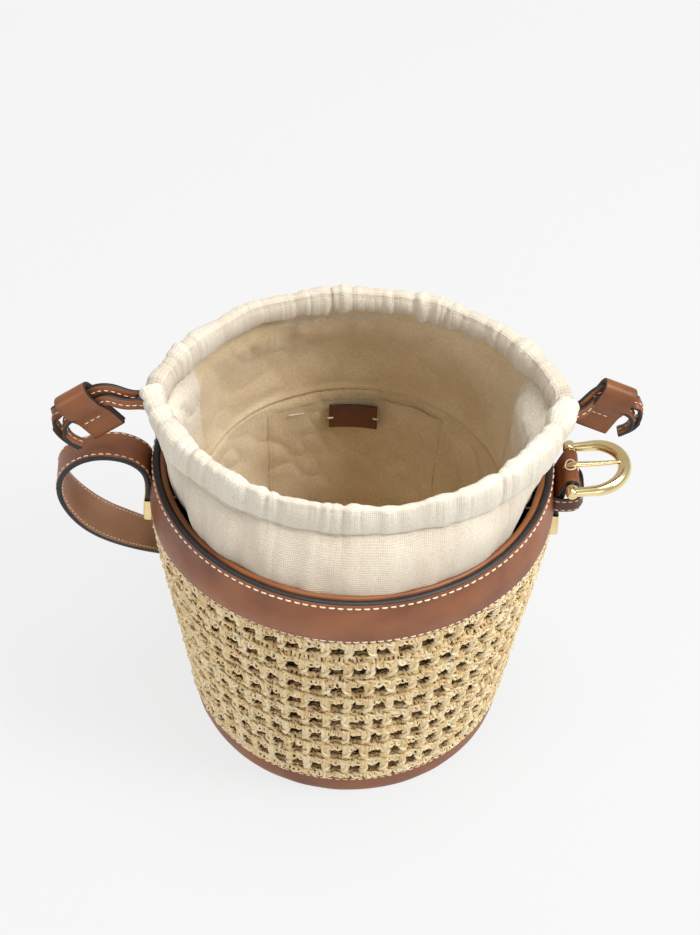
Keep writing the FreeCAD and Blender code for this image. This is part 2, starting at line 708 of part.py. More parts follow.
def make_plate(node, side):
    plate = new_body(node)
    outline = sketch_on(plate, "YZ_Plane", node + "_outline", "plate_x - plate_gauge")
    half, low, high = "(screw_offset + 3.4)", "screw_height - 5", "screw_height + 5"
    add_polygon(outline, [(f"-{half}", low), (half, low), (half, high), (f"-{half}", high)])
    for step in ("-screw_offset", "screw_offset"):
        add_circle(outline, step, "screw_height", "screw_radius + 0.1")
    pad(plate, outline, "plate_gauge - 0.05")
    place_on_side(plate, side)


# ---------------------------------------------------------------- chape, buckle and keeper

def make_chape():
    """One leather strip: up from the cap, round the buckle's bar and back down to the cap."""
    line = size("fitting_line")
    ply = size("chape_ply")
    x, z = size("bar_x"), size("bar_height")
    inside = size("cap_inside + cap_gauge / 2")
    gap = (ply + 0.1) / 2
    bend = size("bar_radius + bar_play") + ply / 2
    front = [(inside - gap, 139), (inside - gap, 146), (inside - gap, 153), (inside - gap - 0.1, 160),
             (inside + 0.4, 167.4)]
    for degrees in range(165, -121, -15):
        turn = math.radians(degrees)
        front.append((x + bend * math.cos(turn), z + bend * math.sin(turn)))
    front += [(inside + 1.9, 165.2), (inside + gap, 160), (inside + gap, 153), (inside + gap, 146),
              (inside + gap, 139)]
    half = size("strap_width") / 2
    edges = [((px, line - half, pz), (px, line + half, pz)) for px, pz in front]
    shape, length = strip(edges, ply, 0, 140)
    print(f"chape: {length:.0f} mm long before folding")
    slot = Part.makeBox(12, size("prong_width") + 1.2, 20,
                        FreeCAD.Vector(x - 4.4, line - size("prong_width") / 2 - 0.6, z - 6))
    holes = [slot]
    for side in (-1, 1):
        start = FreeCAD.Vector(96, line + side * size("screw_offset"), size("screw_height"))
        holes.append(Part.makeCylinder(size("screw_radius") + 0.2, 14, start, FreeCAD.Vector(1, 0, 0)))
    solid_shape("buckle_chape", shape.cut(Part.makeCompound(holes)))


def at_bar(thing):
    """Places a piece built about the bar, with its own X axis pointing along the buckle."""
    tilt = FreeCAD.Rotation(FreeCAD.Vector(0, 1, 0), -size("buckle_tilt"))
    centre = FreeCAD.Vector(size("bar_x"), size("fitting_line"), size("bar_height"))
    thing.Placement = FreeCAD.Placement(centre, tilt)


def make_buckle():
    """A horseshoe frame with a lug at each end, the bar through the lugs and a prong on the bar."""
    frame = new_body("buckle_frame")
    lugs = sketch_on(frame, "XZ_Plane", "buckle_lugs")
    add_circle(lugs, 0, 0, "lug_radius")
    pad(frame, lugs, "arm_spacing + 2 * arm_radius + 0.4", both_ways=True)
    gap = sketch_on(frame, "XZ_Plane", "buckle_lug_gap")
    add_circle(gap, 0, 0, "lug_radius + 1")
    DOC.recompute()
    cut = frame.newObject("PartDesign::Pocket", "buckle_between_lugs")
    cut.Profile = gap
    cut.SideType = "Symmetric"
    cut.setExpression("Length", bound("arm_spacing - 2 * arm_radius - 0.4"))
    DOC.recompute()

    path = sketch_on(frame, "XY_Plane", "buckle_path")
    half, reach = size("arm_spacing / 2"), size("arm_length")
    path.addGeometry(Part.LineSegment(FreeCAD.Vector(0, -half, 0), FreeCAD.Vector(reach, -half, 0)))
    bow = Part.Circle(FreeCAD.Vector(reach, 0, 0), FreeCAD.Vector(0, 0, 1), half)
    path.addGeometry(Part.ArcOfCircle(bow, -math.pi / 2, math.pi / 2))
    path.addGeometry(Part.LineSegment(FreeCAD.Vector(reach, half, 0), FreeCAD.Vector(0, half, 0)))
    path.addConstraint(Sketcher.Constraint("Tangent", 0, 2, 1, 1))
    path.addConstraint(Sketcher.Constraint("Tangent", 1, 2, 2, 1))
    hold_point(path, 0, 1, 0, "-arm_spacing / 2")
    hold_point(path, 1, 3, "arm_length", 0)
    hold_point(path, 2, 2, 0, "arm_spacing / 2")
    section = sketch_on(frame, "YZ_Plane", "buckle_section")
    add_circle(section, "-arm_spacing / 2", 0, "arm_radius")
    DOC.recompute()
    pipe = frame.newObject("PartDesign::AdditivePipe", "buckle_rod")
    pipe.Profile = section
    pipe.Spine = (path, ["Edge1", "Edge2", "Edge3"])
    DOC.recompute()

    swell = sketch_on(frame, "XZ_Plane", "bow_section")
    add_circle(swell, "arm_length + arm_spacing / 2", 0, "bow_radius")
    axis_line = swell.addGeometry(Part.LineSegment(
        FreeCAD.Vector(reach, -5, 0), FreeCAD.Vector(reach, 5, 0)), True)
    hold_point(swell, axis_line, 1, "arm_length", -5)
    hold_point(swell, axis_line, 2, "arm_length", 5)
    DOC.recompute()
    turn = frame.newObject("PartDesign::Revolution", "bow_swell")
    turn.Profile = swell
    turn.ReferenceAxis = (swell, ["Axis0"])
    turn.Midplane = True
    turn.Angle = 130
    DOC.recompute()

    eye = sketch_on(frame, "XZ_Plane", "buckle_bar_hole")
    add_circle(eye, 0, 0, "bar_radius")
    drill(frame, eye)
    at_bar(frame)

    bar = new_body("buckle_bar")
    rod = sketch_on(bar, "XZ_Plane", "bar_section")
    add_circle(rod, 0, 0, "bar_radius - 0.01")
    pad(bar, rod, "arm_spacing + 2 * arm_radius + 0.4", both_ways=True)
    at_bar(bar)

    make_prong()


def make_prong():
    prong = new_body("buckle_prong")
    eye = sketch_on(prong, "XZ_Plane", "prong_eye")
    add_circle(eye, 0, 0, "bar_radius + bar_play + 1.5")
    pad(prong, eye, "prong_width", both_ways=True)
    tongue = sketch_on(prong, "XZ_Plane", "prong_tongue")
    tip = "(arm_length + arm_spacing / 2 + bow_radius)"
    add_polygon(tongue, [
        (-1, "bar_radius + 0.3"), ("arm_length + 6", "bow_radius + 0.15"), (tip, "bow_radius + 0.25"),
        (tip, "bow_radius + prong_radius + 0.6"), ("arm_length + 6", "bow_radius + 2 * prong_radius"),
        (2, "bar_radius + 1.5 + prong_radius")])
    pad(prong, tongue, "2 * prong_radius", both_ways=True)
    bore = sketch_on(prong, "XZ_Plane", "prong_bore")
    add_circle(bore, 0, 0, "bar_radius + bar_play")
    drill(prong, bore)
    at_bar(prong)


def make_keeper():
    """A closed leather loop round the chape, big enough for the strap's free end in front of it."""
    keeper = new_body("keeper_loop")
    outline = sketch_on(keeper, "XY_Plane", "keeper_outline", "keeper_bottom")
    wide = "keeper_width / 2"
    narrow = "keeper_width / 2 - 5"
    wall, reach, inner = "keeper_wall", "keeper_reach", "keeper_width / 2 - keeper_wall"
    add_polygon(outline, [
        (0, f"-({wide} - 1)"), (f"{reach} - 5", f"-{wide}"), (reach, f"-({narrow})"), (reach, narrow),
        (f"{reach} - 5", wide), (0, f"{wide} - 1")])
    add_polygon(outline, [
        (wall, f"-({inner})"), (f"{reach} - 5.3", f"-({inner})"), (f"{reach} - {wall}", f"-({narrow} - 0.4)"),
        (f"{reach} - {wall}", f"{narrow} - 0.4"), (f"{reach} - 5.3", inner), (wall, inner)])
    pad(keeper, outline, "keeper_height")
    keeper.Placement = FreeCAD.Placement(
        FreeCAD.Vector(size("cap_inside") - 1, size("fitting_line"), 0), FreeCAD.Rotation())


# ---------------------------------------------------------------- build, test and export

make_base()
make_wall()
make_top_band()
make_lining()
make_collar()
make_strap()
make_drawstrings()
make_sliders()
make_side_fixings()
make_chape()
make_buckle()
make_keeper()
DOC.recompute()

for thing in DOC.Objects:
    if "Invalid" in thing.State or "Error" in thing.State:
        raise ValueError(f"{thing.Label} failed: {thing.State}")

os.makedirs("parts", exist_ok=True)
for node, thing in PARTS.items():
    if thing.Shape.isNull() or not thing.Shape.isValid():
        raise ValueError(f"{node} is null or not valid")
    thing.Shape.exportStep(os.path.join("parts", node + ".step"))
    box = thing.Shape.BoundBox
    print(f"{node:22s} solids {len(thing.Shape.Solids)} volume {thing.Shape.Volume:10.0f} "
          f"x {box.XMin:7.1f} {box.XMax:7.1f} y {box.YMin:7.1f} {box.YMax:7.1f} z {box.ZMin:6.1f} {box.ZMax:6.1f}")
print(len(PARTS), "nodes")
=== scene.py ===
import math

import bpy
import numpy as np
from mathutils import Matrix, Vector


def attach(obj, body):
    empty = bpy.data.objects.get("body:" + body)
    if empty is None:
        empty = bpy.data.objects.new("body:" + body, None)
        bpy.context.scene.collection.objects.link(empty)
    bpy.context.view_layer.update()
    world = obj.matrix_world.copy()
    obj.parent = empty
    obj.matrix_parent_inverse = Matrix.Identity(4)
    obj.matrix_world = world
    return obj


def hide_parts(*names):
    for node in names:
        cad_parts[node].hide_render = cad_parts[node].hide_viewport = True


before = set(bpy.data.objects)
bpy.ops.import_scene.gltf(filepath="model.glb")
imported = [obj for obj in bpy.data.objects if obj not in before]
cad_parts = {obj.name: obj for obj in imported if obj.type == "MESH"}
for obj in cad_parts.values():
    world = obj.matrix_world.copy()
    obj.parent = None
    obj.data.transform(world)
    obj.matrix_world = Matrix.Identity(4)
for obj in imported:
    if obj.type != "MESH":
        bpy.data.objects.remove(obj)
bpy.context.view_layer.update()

# Everything below is in millimetres, in the frame's axes; a mesh is turned into metres when it is made.
MM = 0.001
X, Y, Z = np.eye(3)
BASE_R, RIM_R, BODY_H = 84.0, 100.0, 176.0
# the caps, the chape and the buckle sit on a line a little in front of the bag's middle
FITTING_Y, CAP_X = -5.0, 103.15
SEAM = math.asin(-FITTING_Y / RIM_R)
# the buckle's bar
BAR_X, BAR_Z, BAR_R = 109.6, 172.5, 2.2


def add_camera():
    """The photo's camera, worked out from the rim, the base and the mouth."""
    tilt, roll, lens = math.radians(47), math.radians(-1.712), 81.85
    location = Vector((-1.434, -736.531, 953.967))
    across, upward = Vector((1, 0, 0)), Vector((0, math.sin(tilt), math.cos(tilt)))
    right = across * math.cos(roll) - upward * math.sin(roll)
    up = across * math.sin(roll) + upward * math.cos(roll)
    back = Vector((0, -math.cos(tilt), math.sin(tilt)))
    data = bpy.data.cameras.new("camera")
    data.sensor_width, data.lens = 36, lens
    camera = bpy.data.objects.new("camera", data)
    turn = Matrix((right, up, back)).transposed()
    camera.matrix_world = Matrix.Translation(location * MM) @ turn.to_4x4()
    bpy.context.scene.collection.objects.link(camera)
    bpy.context.scene.camera = camera


# ---- numbers

def ease(x, start=0.0, span=1.0):
    """0 up to start, 1 from start + span on, with a smooth rise between them."""
    x = np.clip((x - start) / span, 0, 1)
    return x * x * (3 - 2 * x)


def hump(x, middle, width):
    return np.exp(-((x - middle) / width) ** 2)


def smooth_noise(x, y, seed, size=64):
    """Smooth noise between -1 and 1 at x, y; it repeats every size units."""
    grid = np.random.default_rng(seed).uniform(-1, 1, (size, size))
    x, y = np.asarray(x, float), np.asarray(y, float)
    x0, y0 = np.floor(x).astype(int), np.floor(y).astype(int)
    fx, fy = ease(x - x0), ease(y - y0)
    a, b = grid[x0 % size, y0 % size], grid[(x0 + 1) % size, y0 % size]
    c, d = grid[x0 % size, (y0 + 1) % size], grid[(x0 + 1) % size, (y0 + 1) % size]
    return (a * (1 - fx) + b * fx) * (1 - fy) + (c * (1 - fx) + d * fx) * fy


def circle(count):
    """Angles once round, without the last one that repeats the first."""
    return np.linspace(0, 2 * math.pi, count + 1)[:-1]


def xyz(x, y, z):
    """Points from their coordinates, each an array or one number."""
    return np.stack(np.broadcast_arrays(x, y, z), -1)


def unit(v):
    v = np.asarray(v, float)
    return v / np.maximum(np.linalg.norm(v, axis=-1, keepdims=True), 1e-9)


def square_to(a, b):
    return unit(np.cross(a, b))


def lengths(line):
    """How far along the line each of its points is."""
    return np.concatenate([[0], np.cumsum(np.linalg.norm(np.diff(line, axis=0), axis=1))])


def spline(points, count):
    """A natural cubic spline through the points, with chord-length parameters, sampled evenly."""
    p = np.asarray(points, float)
    t = lengths(p)
    n, h = len(t), np.diff(t)
    a, b = np.zeros((n, n)), np.zeros((n, p.shape[1]))
    a[0, 0] = a[-1, -1] = 1
    for i in range(1, n - 1):
        a[i, i - 1], a[i, i], a[i, i + 1] = h[i - 1], 2 * (h[i - 1] + h[i]), h[i]
        b[i] = 6 * ((p[i + 1] - p[i]) / h[i] - (p[i] - p[i - 1]) / h[i - 1])
    m = np.linalg.solve(a, b)
    x = np.linspace(0, t[-1], count)
    i = np.clip(np.searchsorted(t, x, side="right") - 1, 0, n - 2)
    u, v, hh = (t[i + 1] - x)[:, None], (x - t[i])[:, None], h[i][:, None]
    return ((m[i] * u ** 3 + m[i + 1] * v ** 3) / (6 * hh) + (p[i] / hh - m[i] * hh / 6) * u
            + (p[i + 1] / hh - m[i + 1] * hh / 6) * v)


def tangents(line, closed=False):
    return unit(np.roll(line, -1, 0) - np.roll(line, 1, 0) if closed else np.gradient(line, axis=0))


# ---- materials

def srgb(colour):
    """An sRGB colour like "#c08040" in linear numbers, with alpha."""
    rgb = [int(colour[k:k + 2], 16) for k in (1, 3, 5)]
    return (*(c / 255 / 12.92 if c <= 10.3 else ((c / 255 + 0.055) / 1.055) ** 2.4 for c in rgb), 1.0)


class Nodes:
    """Short way to build a material. In the names of inputs _ stands for a space."""

    def __init__(self, name, **values):
        self.material = bpy.data.materials.new(name)
        self.material.use_nodes = True
        self.tree = self.material.node_tree
        self.shader = self.tree.nodes["Principled BSDF"]
        self.set(**values)

    def feed(self, socket, value):
        if isinstance(value, bpy.types.NodeSocket):
            self.tree.links.new(value, socket)
        else:
            socket.default_value = srgb(value) if isinstance(value, str) else value

    def set(self, **values):
        for key, value in values.items():
            self.feed(self.shader.inputs[key.replace("_", " ")], value)

    def add(self, kind, **settings):
        node = self.tree.nodes.new("ShaderNode" + kind)
        for key, value in settings.items():
            name = key.replace("_", " ")
            if name in node.inputs:
                self.feed(node.inputs[name], value)
            else:
                setattr(node, key, value)
        return node

    def where(self, attribute=None, scale=(1, 1, 1)):
        """Object coordinates, or a mesh's own vector attribute, scaled."""
        if attribute:
            source = self.add("Attribute", attribute_name=attribute).outputs["Vector"]
        else:
            source = self.add("TexCoord").outputs["Object"]
        return self.add("Mapping", Vector=source, Scale=scale).outputs["Vector"]

    def tint(self):
        return self.add("Attribute", attribute_name="tint").outputs["Fac"]

    def noise(self, where, scale, detail, rough=0.5):
        return self.add("TexNoise", Vector=where, Scale=scale, Detail=detail, Roughness=rough).outputs["Fac"]

    def ramp(self, fac, *stops):
        node = self.add("ValToRGB", Fac=fac)
        marks = node.color_ramp.elements
        marks[0].position, marks[1].position = stops[0][0], stops[-1][0]
        marks[0].color, marks[1].color = srgb(stops[0][1]), srgb(stops[-1][1])
        for position, colour in stops[1:-1]:
            marks.new(position).color = srgb(colour)
        return node.outputs["Color"]

    def mix(self, fac, a, b):
        node = self.add("Mix", data_type="RGBA")
        for index, value in ((0, fac), (6, a), (7, b)):
            self.feed(node.inputs[index], value)
        return node.outputs[2]

    def math(self, operation, a, b):
        node = self.add("Math", operation=operation)
        self.feed(node.inputs[0], a)
        self.feed(node.inputs[1], b)
        return node.outputs[0]

    def spread(self, fac, low, high):
        return self.add("MapRange", Value=fac, To_Min=low, To_Max=high).outputs["Result"]

    def bump(self, height, strength, distance):
        node = self.add("Bump", Strength=strength, Distance=distance, Height=height)
        normal = self.shader.inputs["Normal"]
        if normal.links:
            self.feed(node.inputs["Normal"], normal.links[0].from_socket)
        self.feed(normal, node.outputs["Normal"])


def leather_material(name, base, deep, light, roughness=0.46):
    n = Nodes(name, Specular_IOR_Level=0.36, Coat_Weight=0.06, Coat_Roughness=0.3)
    at = n.where()
    tone = n.ramp(n.noise(at, 26, 4, 0.55), (0.32, deep), (0.5, base), (0.7, light))
    n.set(Base_Color=n.mix(n.spread(n.noise(at, 420, 5, 0.6), 0.0, 0.28), tone, deep),
          Roughness=n.spread(n.noise(at, 90, 4, 0.6), roughness - 0.09, roughness + 0.12))
    pores = n.add("TexVoronoi", Vector=at, Scale=900.0, feature="DISTANCE_TO_EDGE")
    n.bump(n.spread(pores.outputs["Distance"], 0.0, 1.0), 0.12, 0.0004)
    n.bump(n.noise(at, 150, 6, 0.65), 0.16, 0.0006)
    return n.material


def plain_material(name, dark, light, roughness=0.8, tone=(60, 4), grain=(400, 4), relief=(0.25, 0.0004),
                   metal=False):
    """Two tones mixed by noise, with a grain; metal also has smears that are duller."""
    n = Nodes(name, Roughness=roughness)
    at = n.where()
    n.set(Base_Color=n.ramp(n.noise(at, *tone), (0.3, dark), (0.7, light)))
    n.bump(n.noise(at, *grain), *relief)
    if metal:
        n.set(Metallic=1.0, Roughness=n.spread(n.noise(at, 200, 5), 0.13, 0.27))
    return n.material


def raffia_material():
    """Straw: each strand has its own tint, fine streaks along it, and painted shade that darkens the strands
    lying deep in the wall.
    """
    n = Nodes("raffia_straw", Roughness=0.58, Specular_IOR_Level=0.35)
    streak = n.noise(n.where("strand", (2.6, 0.28, 1.0)), 1.0, 5, 0.65)
    patch = n.noise(n.where(), 90, 3)
    # the ramp's dark brown low end is the painted shade of straw deep in the wall
    tone = n.ramp(n.tint(), (0.0, "#68421e"), (0.25, "#b08348"),
                  (0.5, "#e4c38b"), (0.75, "#f5dcaa"), (1.0, "#fdeeca"))
    tone = n.mix(n.spread(streak, -0.7, 0.85), tone, "#b28042")
    n.set(Base_Color=n.mix(n.spread(patch, 0.0, 0.3), tone, "#f4deae"))
    n.bump(streak, 0.9, 0.0009)
    return n.material


def linen_material(name, light, dark, slub, second, weave):
    """Plain-weave linen: threads both ways from the cloth's own two directions, with slubs.

    The mesh's tint blends towards the second tone: painted shade and a slightly darker collar on the liner,
    painted light at the lining's tips.
    """
    n = Nodes(name, Roughness=0.9, Sheen_Weight=0.25, Sheen_Roughness=0.5)
    warp = n.noise(n.where("cloth", (1.15, 0.4, 1.0)), 1.0, 3, 0.65)
    weft = n.noise(n.where("cloth", (0.4, 1.15, 1.0)), 1.0, 3, 0.65)
    threads = n.math("MULTIPLY", n.math("ADD", warp, weft), 0.5)
    patch = n.noise(n.where(), 34, 4, 0.6)
    tone = n.mix(n.tint(), n.ramp(patch, (0.3, dark), (0.65, light)), second)
    n.set(Base_Color=n.mix(n.spread(threads, -0.8, 1.15), tone, slub))
    at = n.where("cloth")
    waves = [n.add("TexWave", Vector=at, Scale=0.27, Distortion=1.6, Detail=2.0,
                   bands_direction=direction).outputs["Fac"] for direction in "XY"]
    n.bump(n.math("MULTIPLY", *waves), weave, 0.0004)
    n.bump(threads, 0.5, 0.0005)
    return n.material


LEATHER = leather_material("tan_leather", "#874f2c", "#6e3c20", "#9a5f38")
ORANGE = leather_material("orange_leather", "#854f29", "#6c3d1f", "#965d33", 0.4)
# the strap's lining ply: its leather is made lighter as a painted sheen
INNER_SHEEN_LEATHER = leather_material("inner_leather_painted_sheen", "#b88c73", "#a47860", "#c89e84", 0.38)
DARK = leather_material("dark_leather", "#643a23", "#4c2c1c", "#74462c")
EDGE = plain_material("edge_paint", "#111011", "#222021", 0.5, (300, 4), (500, 4), (0.2, 0.0003))
BRASS = plain_material("polished_brass", "#e8cb8c", "#f7e4b2", 0.2, (60, 4), (700, 3), (0.05, 0.0002),
                       metal=True)
RAFFIA = raffia_material()
LINEN = linen_material("linen", "#e9e2d3", "#dfd5c3", "#b6a68a", "#baa892", 0.6)
LINING = linen_material("lining_cloth", "#e5d2b1", "#d5be96", "#a88a5e", "#ece5d5", 0.5)
THREAD = plain_material("waxed_thread", "#d6be9c", "#f6e8d2", 0.6, (900, 3), (1500, 3), (0.3, 0.0002))
BOARD = plain_material("board", "#5c5042", "#6e6050")
SHADED = plain_material("shaded_lining", "#2a1a0e", "#3e2615")


# ---- meshes

class Build:
    """Collects quads from many small grids into one piece."""

    def __init__(self, name, materials, body="bag"):
        self.name, self.materials, self.body = name, materials, body
        self.points, self.faces, self.slots, self.values = [], [], [], {}
        self.count = 0

    def grid(self, points, around=False, along=False, slot=0, caps=None, **values):
        """points is rows x columns x 3. around closes the columns, along closes the rows.

        slot is one material slot, or one for each column; caps is the slot of the end faces.
        """
        rows, cols, _ = points.shape
        index = np.arange(rows * cols).reshape(rows, cols) + self.count
        a = np.vstack([index, index[:1]]) if along else index
        a = np.hstack([a, a[:, :1]]) if around else a
        quads = np.stack([a[:-1, :-1], a[:-1, 1:], a[1:, 1:], a[1:, :-1]], -1).reshape(-1, 4)
        self.points.append(points.reshape(-1, 3))
        self.faces += quads.tolist()
        self.slots += np.tile(np.broadcast_to(slot, a.shape[1] - 1), len(a) - 1).tolist()
        if caps is not None:
            self.faces += [index[0][::-1].tolist(), index[-1].tolist()]
            self.slots += [caps, caps]
        for key, value in values.items():
            self.values.setdefault(key, []).append(np.asarray(value, float).reshape(rows * cols, -1))
        self.count += rows * cols

    def make(self, slot, replaces=(), thick=0.0):
        mesh = bpy.data.meshes.new(self.name)
        mesh.from_pydata((np.vstack(self.points) * MM).tolist(), [], self.faces)
        mesh.polygons.foreach_set("material_index", np.array(self.slots, np.int32))
        mesh.polygons.foreach_set("use_smooth", np.ones(len(self.faces), bool))
        for key, chunks in self.values.items():
            data = np.vstack(chunks)
            if data.shape[1] == 1:
                mesh.attributes.new(key, "FLOAT", "POINT").data.foreach_set("value", data.ravel())
            else:
                full = np.zeros((len(data), 3))
                full[:, : data.shape[1]] = data
                mesh.attributes.new(key, "FLOAT_VECTOR", "POINT").data.foreach_set("vector", full.ravel())
        for material in self.materials:
            mesh.materials.append(material)
        mesh.validate()
        piece = bpy.data.objects.new(self.name, mesh)
        bpy.context.scene.collection.objects.link(piece)
        if thick:
            solid = piece.modifiers.new("thickness", "SOLIDIFY")
            solid.thickness, solid.offset = thick * MM, 0
        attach(piece, self.body)
        if replaces:
            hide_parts(*replaces)
        return piece


def oval(count, wide, thick):
    """An oval section; its half sizes are one number each, or one for every point of a line."""
    turn = circle(count)
    return np.stack([np.cos(turn) * np.reshape(wide, (-1, 1)), np.sin(turn) * np.reshape(thick, (-1, 1))], -1)


def rounded_profile(width, gauge, corner, crown, across=9):
    """A leather strip's section, counter-clockwise: (across, normal) pairs, and which points are edge."""
    half, top = width / 2, gauge / 2
    face = np.linspace(-half + corner * 1.6, half - corner * 1.6, across)
    upper = [(x, top + crown * (1 - (x / half) ** 4) - crown * 0.5) for x in face[::-1]]
    lower = [(x, -top) for x in face]
    right = [(half - corner * 0.5, -top + 0.12), (half, -top + corner * 0.7), (half + 0.05, 0),
             (half, top - corner * 0.7), (half - corner * 0.5, top - 0.12)]
    left = [(-x, -y) for x, y in right]
    return np.array(lower + right + upper + left), 2 * ([0] * across + [1] * 4 + [0])


def swept(centre, across, normal, section):
    """Rows of points: a section's (across, normal) pairs at every point of a line."""
    across, normal = np.broadcast_to(across, centre.shape), np.broadcast_to(normal, centre.shape)
    return (centre[:, None] + across[:, None] * section[..., 0, None]
            + normal[:, None] * section[..., 1, None])


def strip(build, centre, across, normal, profile, closed=False):
    """A leather strip along a line, open with capped ends or closed."""
    section, edge = profile
    build.grid(swept(centre, across, normal, section), around=True, along=closed, slot=edge,
               caps=None if closed else 1)


def stitch_grid(build, centre, along, normal, length, width, lift, seed):
    """Adds one rounded stitch for each centre, lying along its direction on the surface."""
    rng = np.random.default_rng(seed)
    share = np.array([-1, -0.93, -0.7, -0.3, 0.3, 0.7, 0.93, 1.0])
    fat = np.array([0.05, 0.55, 0.9, 1.0, 1.0, 0.9, 0.55, 0.05]) * width / 2
    sink = np.array([-0.55, -0.3, -0.05, 0.1, 0.1, -0.05, -0.3, -0.55]) * width * 0.7
    for c, t, n, s in zip(centre, along, normal, np.cross(normal, along)):
        slant = rng.normal(0, 0.035)
        t2, s2 = t + s * slant, s - t * slant
        c2 = c + t * rng.normal(0, 0.08) + n * lift
        half = length / 2 * (1 + rng.normal(0, 0.03))
        spine = c2 + t2 * (share * half)[:, None] + n * sink[:, None]
        build.grid(swept(spine, s2, n, oval(6, fat, 0.7 * fat)), around=True)


def stitch_line(build, line, normal, pitch, length, width=0.75, closed=False, lift=0.12, *, seed):
    """Stitches a line of points: one stitch every pitch."""
    if closed:
        line, normal = np.vstack([line, line[:1]]), np.vstack([normal, normal[:1]])
    s = lengths(line)
    count = max(1, int(round(s[-1] / pitch)))
    place = (np.arange(count) + 0.5) * s[-1] / count

    def at(values, x):
        return np.stack([np.interp(x, s, values[:, k]) for k in range(3)], -1)

    along = unit(at(line, np.minimum(place + 0.6, s[-1])) - at(line, np.maximum(place - 0.6, 0)))
    stitch_grid(build, at(line, place), along, unit(at(normal, place)), length, width, lift, seed)


# ---- the body's outline

def cone(z):
    return BASE_R + (RIM_R - BASE_R) * z / BODY_H


def swell(theta, z):
    """The soft wall bellies out at both sides, most at the lower edge of the top band."""
    side = np.abs(np.cos(theta)) * 0.966 - np.sin(theta) * 0.259
    return 1 + 0.046 * np.clip(side, 0, 1) ** 5 * ease(z, 8, 132) * (1 - 0.8 * ease(z, 148, 28))


def outline(theta, z, offset):
    """Points at an angle and height on the body, moved out by offset."""
    r = cone(z) * swell(theta, z) + offset
    return xyz(r * np.cos(theta), r * np.sin(theta), z)


# ---- leather trims of the body, as (offset from the outline, height, 1 for a black edge)

BAND_SECTION = [
    (-2.6, 144.6, 0), (-1.2, 143.9, 0), (0.1, 143.7, 0), (0.75, 144.1, 0), (1.05, 145.0, 0),
    (1.25, 147.0, 0), (1.55, 150.5, 0), (1.65, 155.0, 0), (1.45, 160.0, 0), (1.1, 165.0, 0),
    (0.7, 169.5, 0), (0.35, 172.8, 0), (0.1, 174.4, 0), (-0.25, 175.2, 1), (-0.9, 175.7, 1),
    (-1.8, 175.85, 1), (-2.8, 175.7, 1), (-3.3, 175.1, 1), (-3.4, 173.0, 0), (-3.3, 160.0, 0),
    (-3.0, 150.0, 0),
]
BASE_SECTION = [
    (-3.2, 0.6, 0), (-1.6, 0.05, 0), (-0.5, 0.25, 0), (0.35, 1.0, 0), (0.75, 2.6, 0), (0.95, 5.0, 0),
    (0.95, 9.0, 0), (0.8, 12.4, 0), (0.6, 14.3, 1), (0.3, 14.9, 1), (-0.6, 15.15, 1), (-1.6, 15.0, 1),
    (-2.4, 14.2, 0), (-2.6, 8.0, 0),
]


def trim(build, section, theta, offset, waver, spacing, seed, closed):
    """A leather trim round the body, with a slight waver."""
    out, z, slots = np.array(section).T
    theta = theta[:, None]
    wave = waver * smooth_noise(theta * 9, z / spacing, seed)
    build.grid(outline(theta, z, out + offset + wave), around=True, along=closed, slot=slots.astype(int),
               caps=None if closed else 1)


def add_top_band():
    build = Build("top_band", [LEATHER, EDGE])
    trim(build, BAND_SECTION, np.linspace(math.pi + SEAM - 0.010, 2 * math.pi - SEAM + 0.010, 300), 0.0,
         0.18, 14, 5, False)
    trim(build, BAND_SECTION, np.linspace(-SEAM + 0.002, math.pi + SEAM - 0.002, 300), -0.25,
         0.18, 14, 5, False)
    build.make("leather", ["top_band_front", "top_band_back"])

    stitches = Build("rim_stitches", [THREAD])
    theta = circle(720)
    out = unit(xyz(np.cos(theta), np.sin(theta), 0.15))
    for z, offset, count, seed in ((173.2, 0.32, 150, 1), (146.0, 1.15, 157, 2)):
        line = outline(theta, z, offset)
        pitch = lengths(np.vstack([line, line[:1]]))[-1] / count
        stitch_line(stitches, line, out, pitch, 3.1, 1.0, closed=True, seed=seed)
    stitches.make("thread", ["rim_thread_top", "rim_thread_bottom"])


def add_piping():
    build = Build("piping", [ORANGE])
    theta = circle(400)
    r = cone(174.4) * swell(theta, 174.4) - 5.05 + 0.12 * smooth_noise(theta * 12, theta * 0, 9)
    out = xyz(np.cos(theta), np.sin(theta), 0)
    build.grid(swept(out * r[:, None] + 174.3 * Z, out, Z, oval(14, 1.65, 1.65)), around=True, along=True)
    # the leather's turned-under tail, down inside the wall
    tail = ((-6.5, 174.2), (-6.6, 171), (-6.7, 166), (-6.8, 158))
    build.grid(np.stack([outline(theta, z, offset) for offset, z in tail], 1), along=True)
    build.make("piping", ["rim_piping"])


def add_base():
    build = Build("base_trim", [LEATHER, EDGE])
    trim(build, BASE_SECTION, circle(360), 0.0, 0.15, 9, 15, True)
    build.make("leather", ["base_band"])

    stitches = Build("base_stitches", [THREAD])
    theta = circle(360)
    stitch_line(stitches, outline(theta, 12.9, 0.76), unit(xyz(np.cos(theta), np.sin(theta), 0.05)),
                4.0, 2.9, 0.8, closed=True, lift=0.1, seed=3)
    stitches.make("thread", ["base_thread"])

    panel = Build("base_leather", [LEATHER])
    r = np.array([0.5, 20, 40, 60, 72, 79, 80.6, 80.9, 80.6, 60, 0.5])
    z = np.array([0.35, 0.3, 0.25, 0.15, 0.1, 0.15, 0.5, 1.4, 2.3, 2.5, 2.5])
    panel.grid(swept(xyz(0, 0, z), X, Y, oval(120, r, r)), around=True)
    panel.make("leather", ["base_panel"])


# ---- crocheted raffia

COLUMNS = 54
# the lower edge of each course, and how far below it the next one starts
ROW_HEIGHTS = [141.2, 123.0, 106.6, 91.0, 75.4, 60.2, 45.0, 30.0, 16.4]
HOLE_DROP = 10.9
FIRST_POST = math.radians(-96.3)
# distances round the wall are measured on its circle at this radius
MIDDLE_R = cone(80.0)
PITCH = 2 * math.pi * MIDDLE_R / COLUMNS


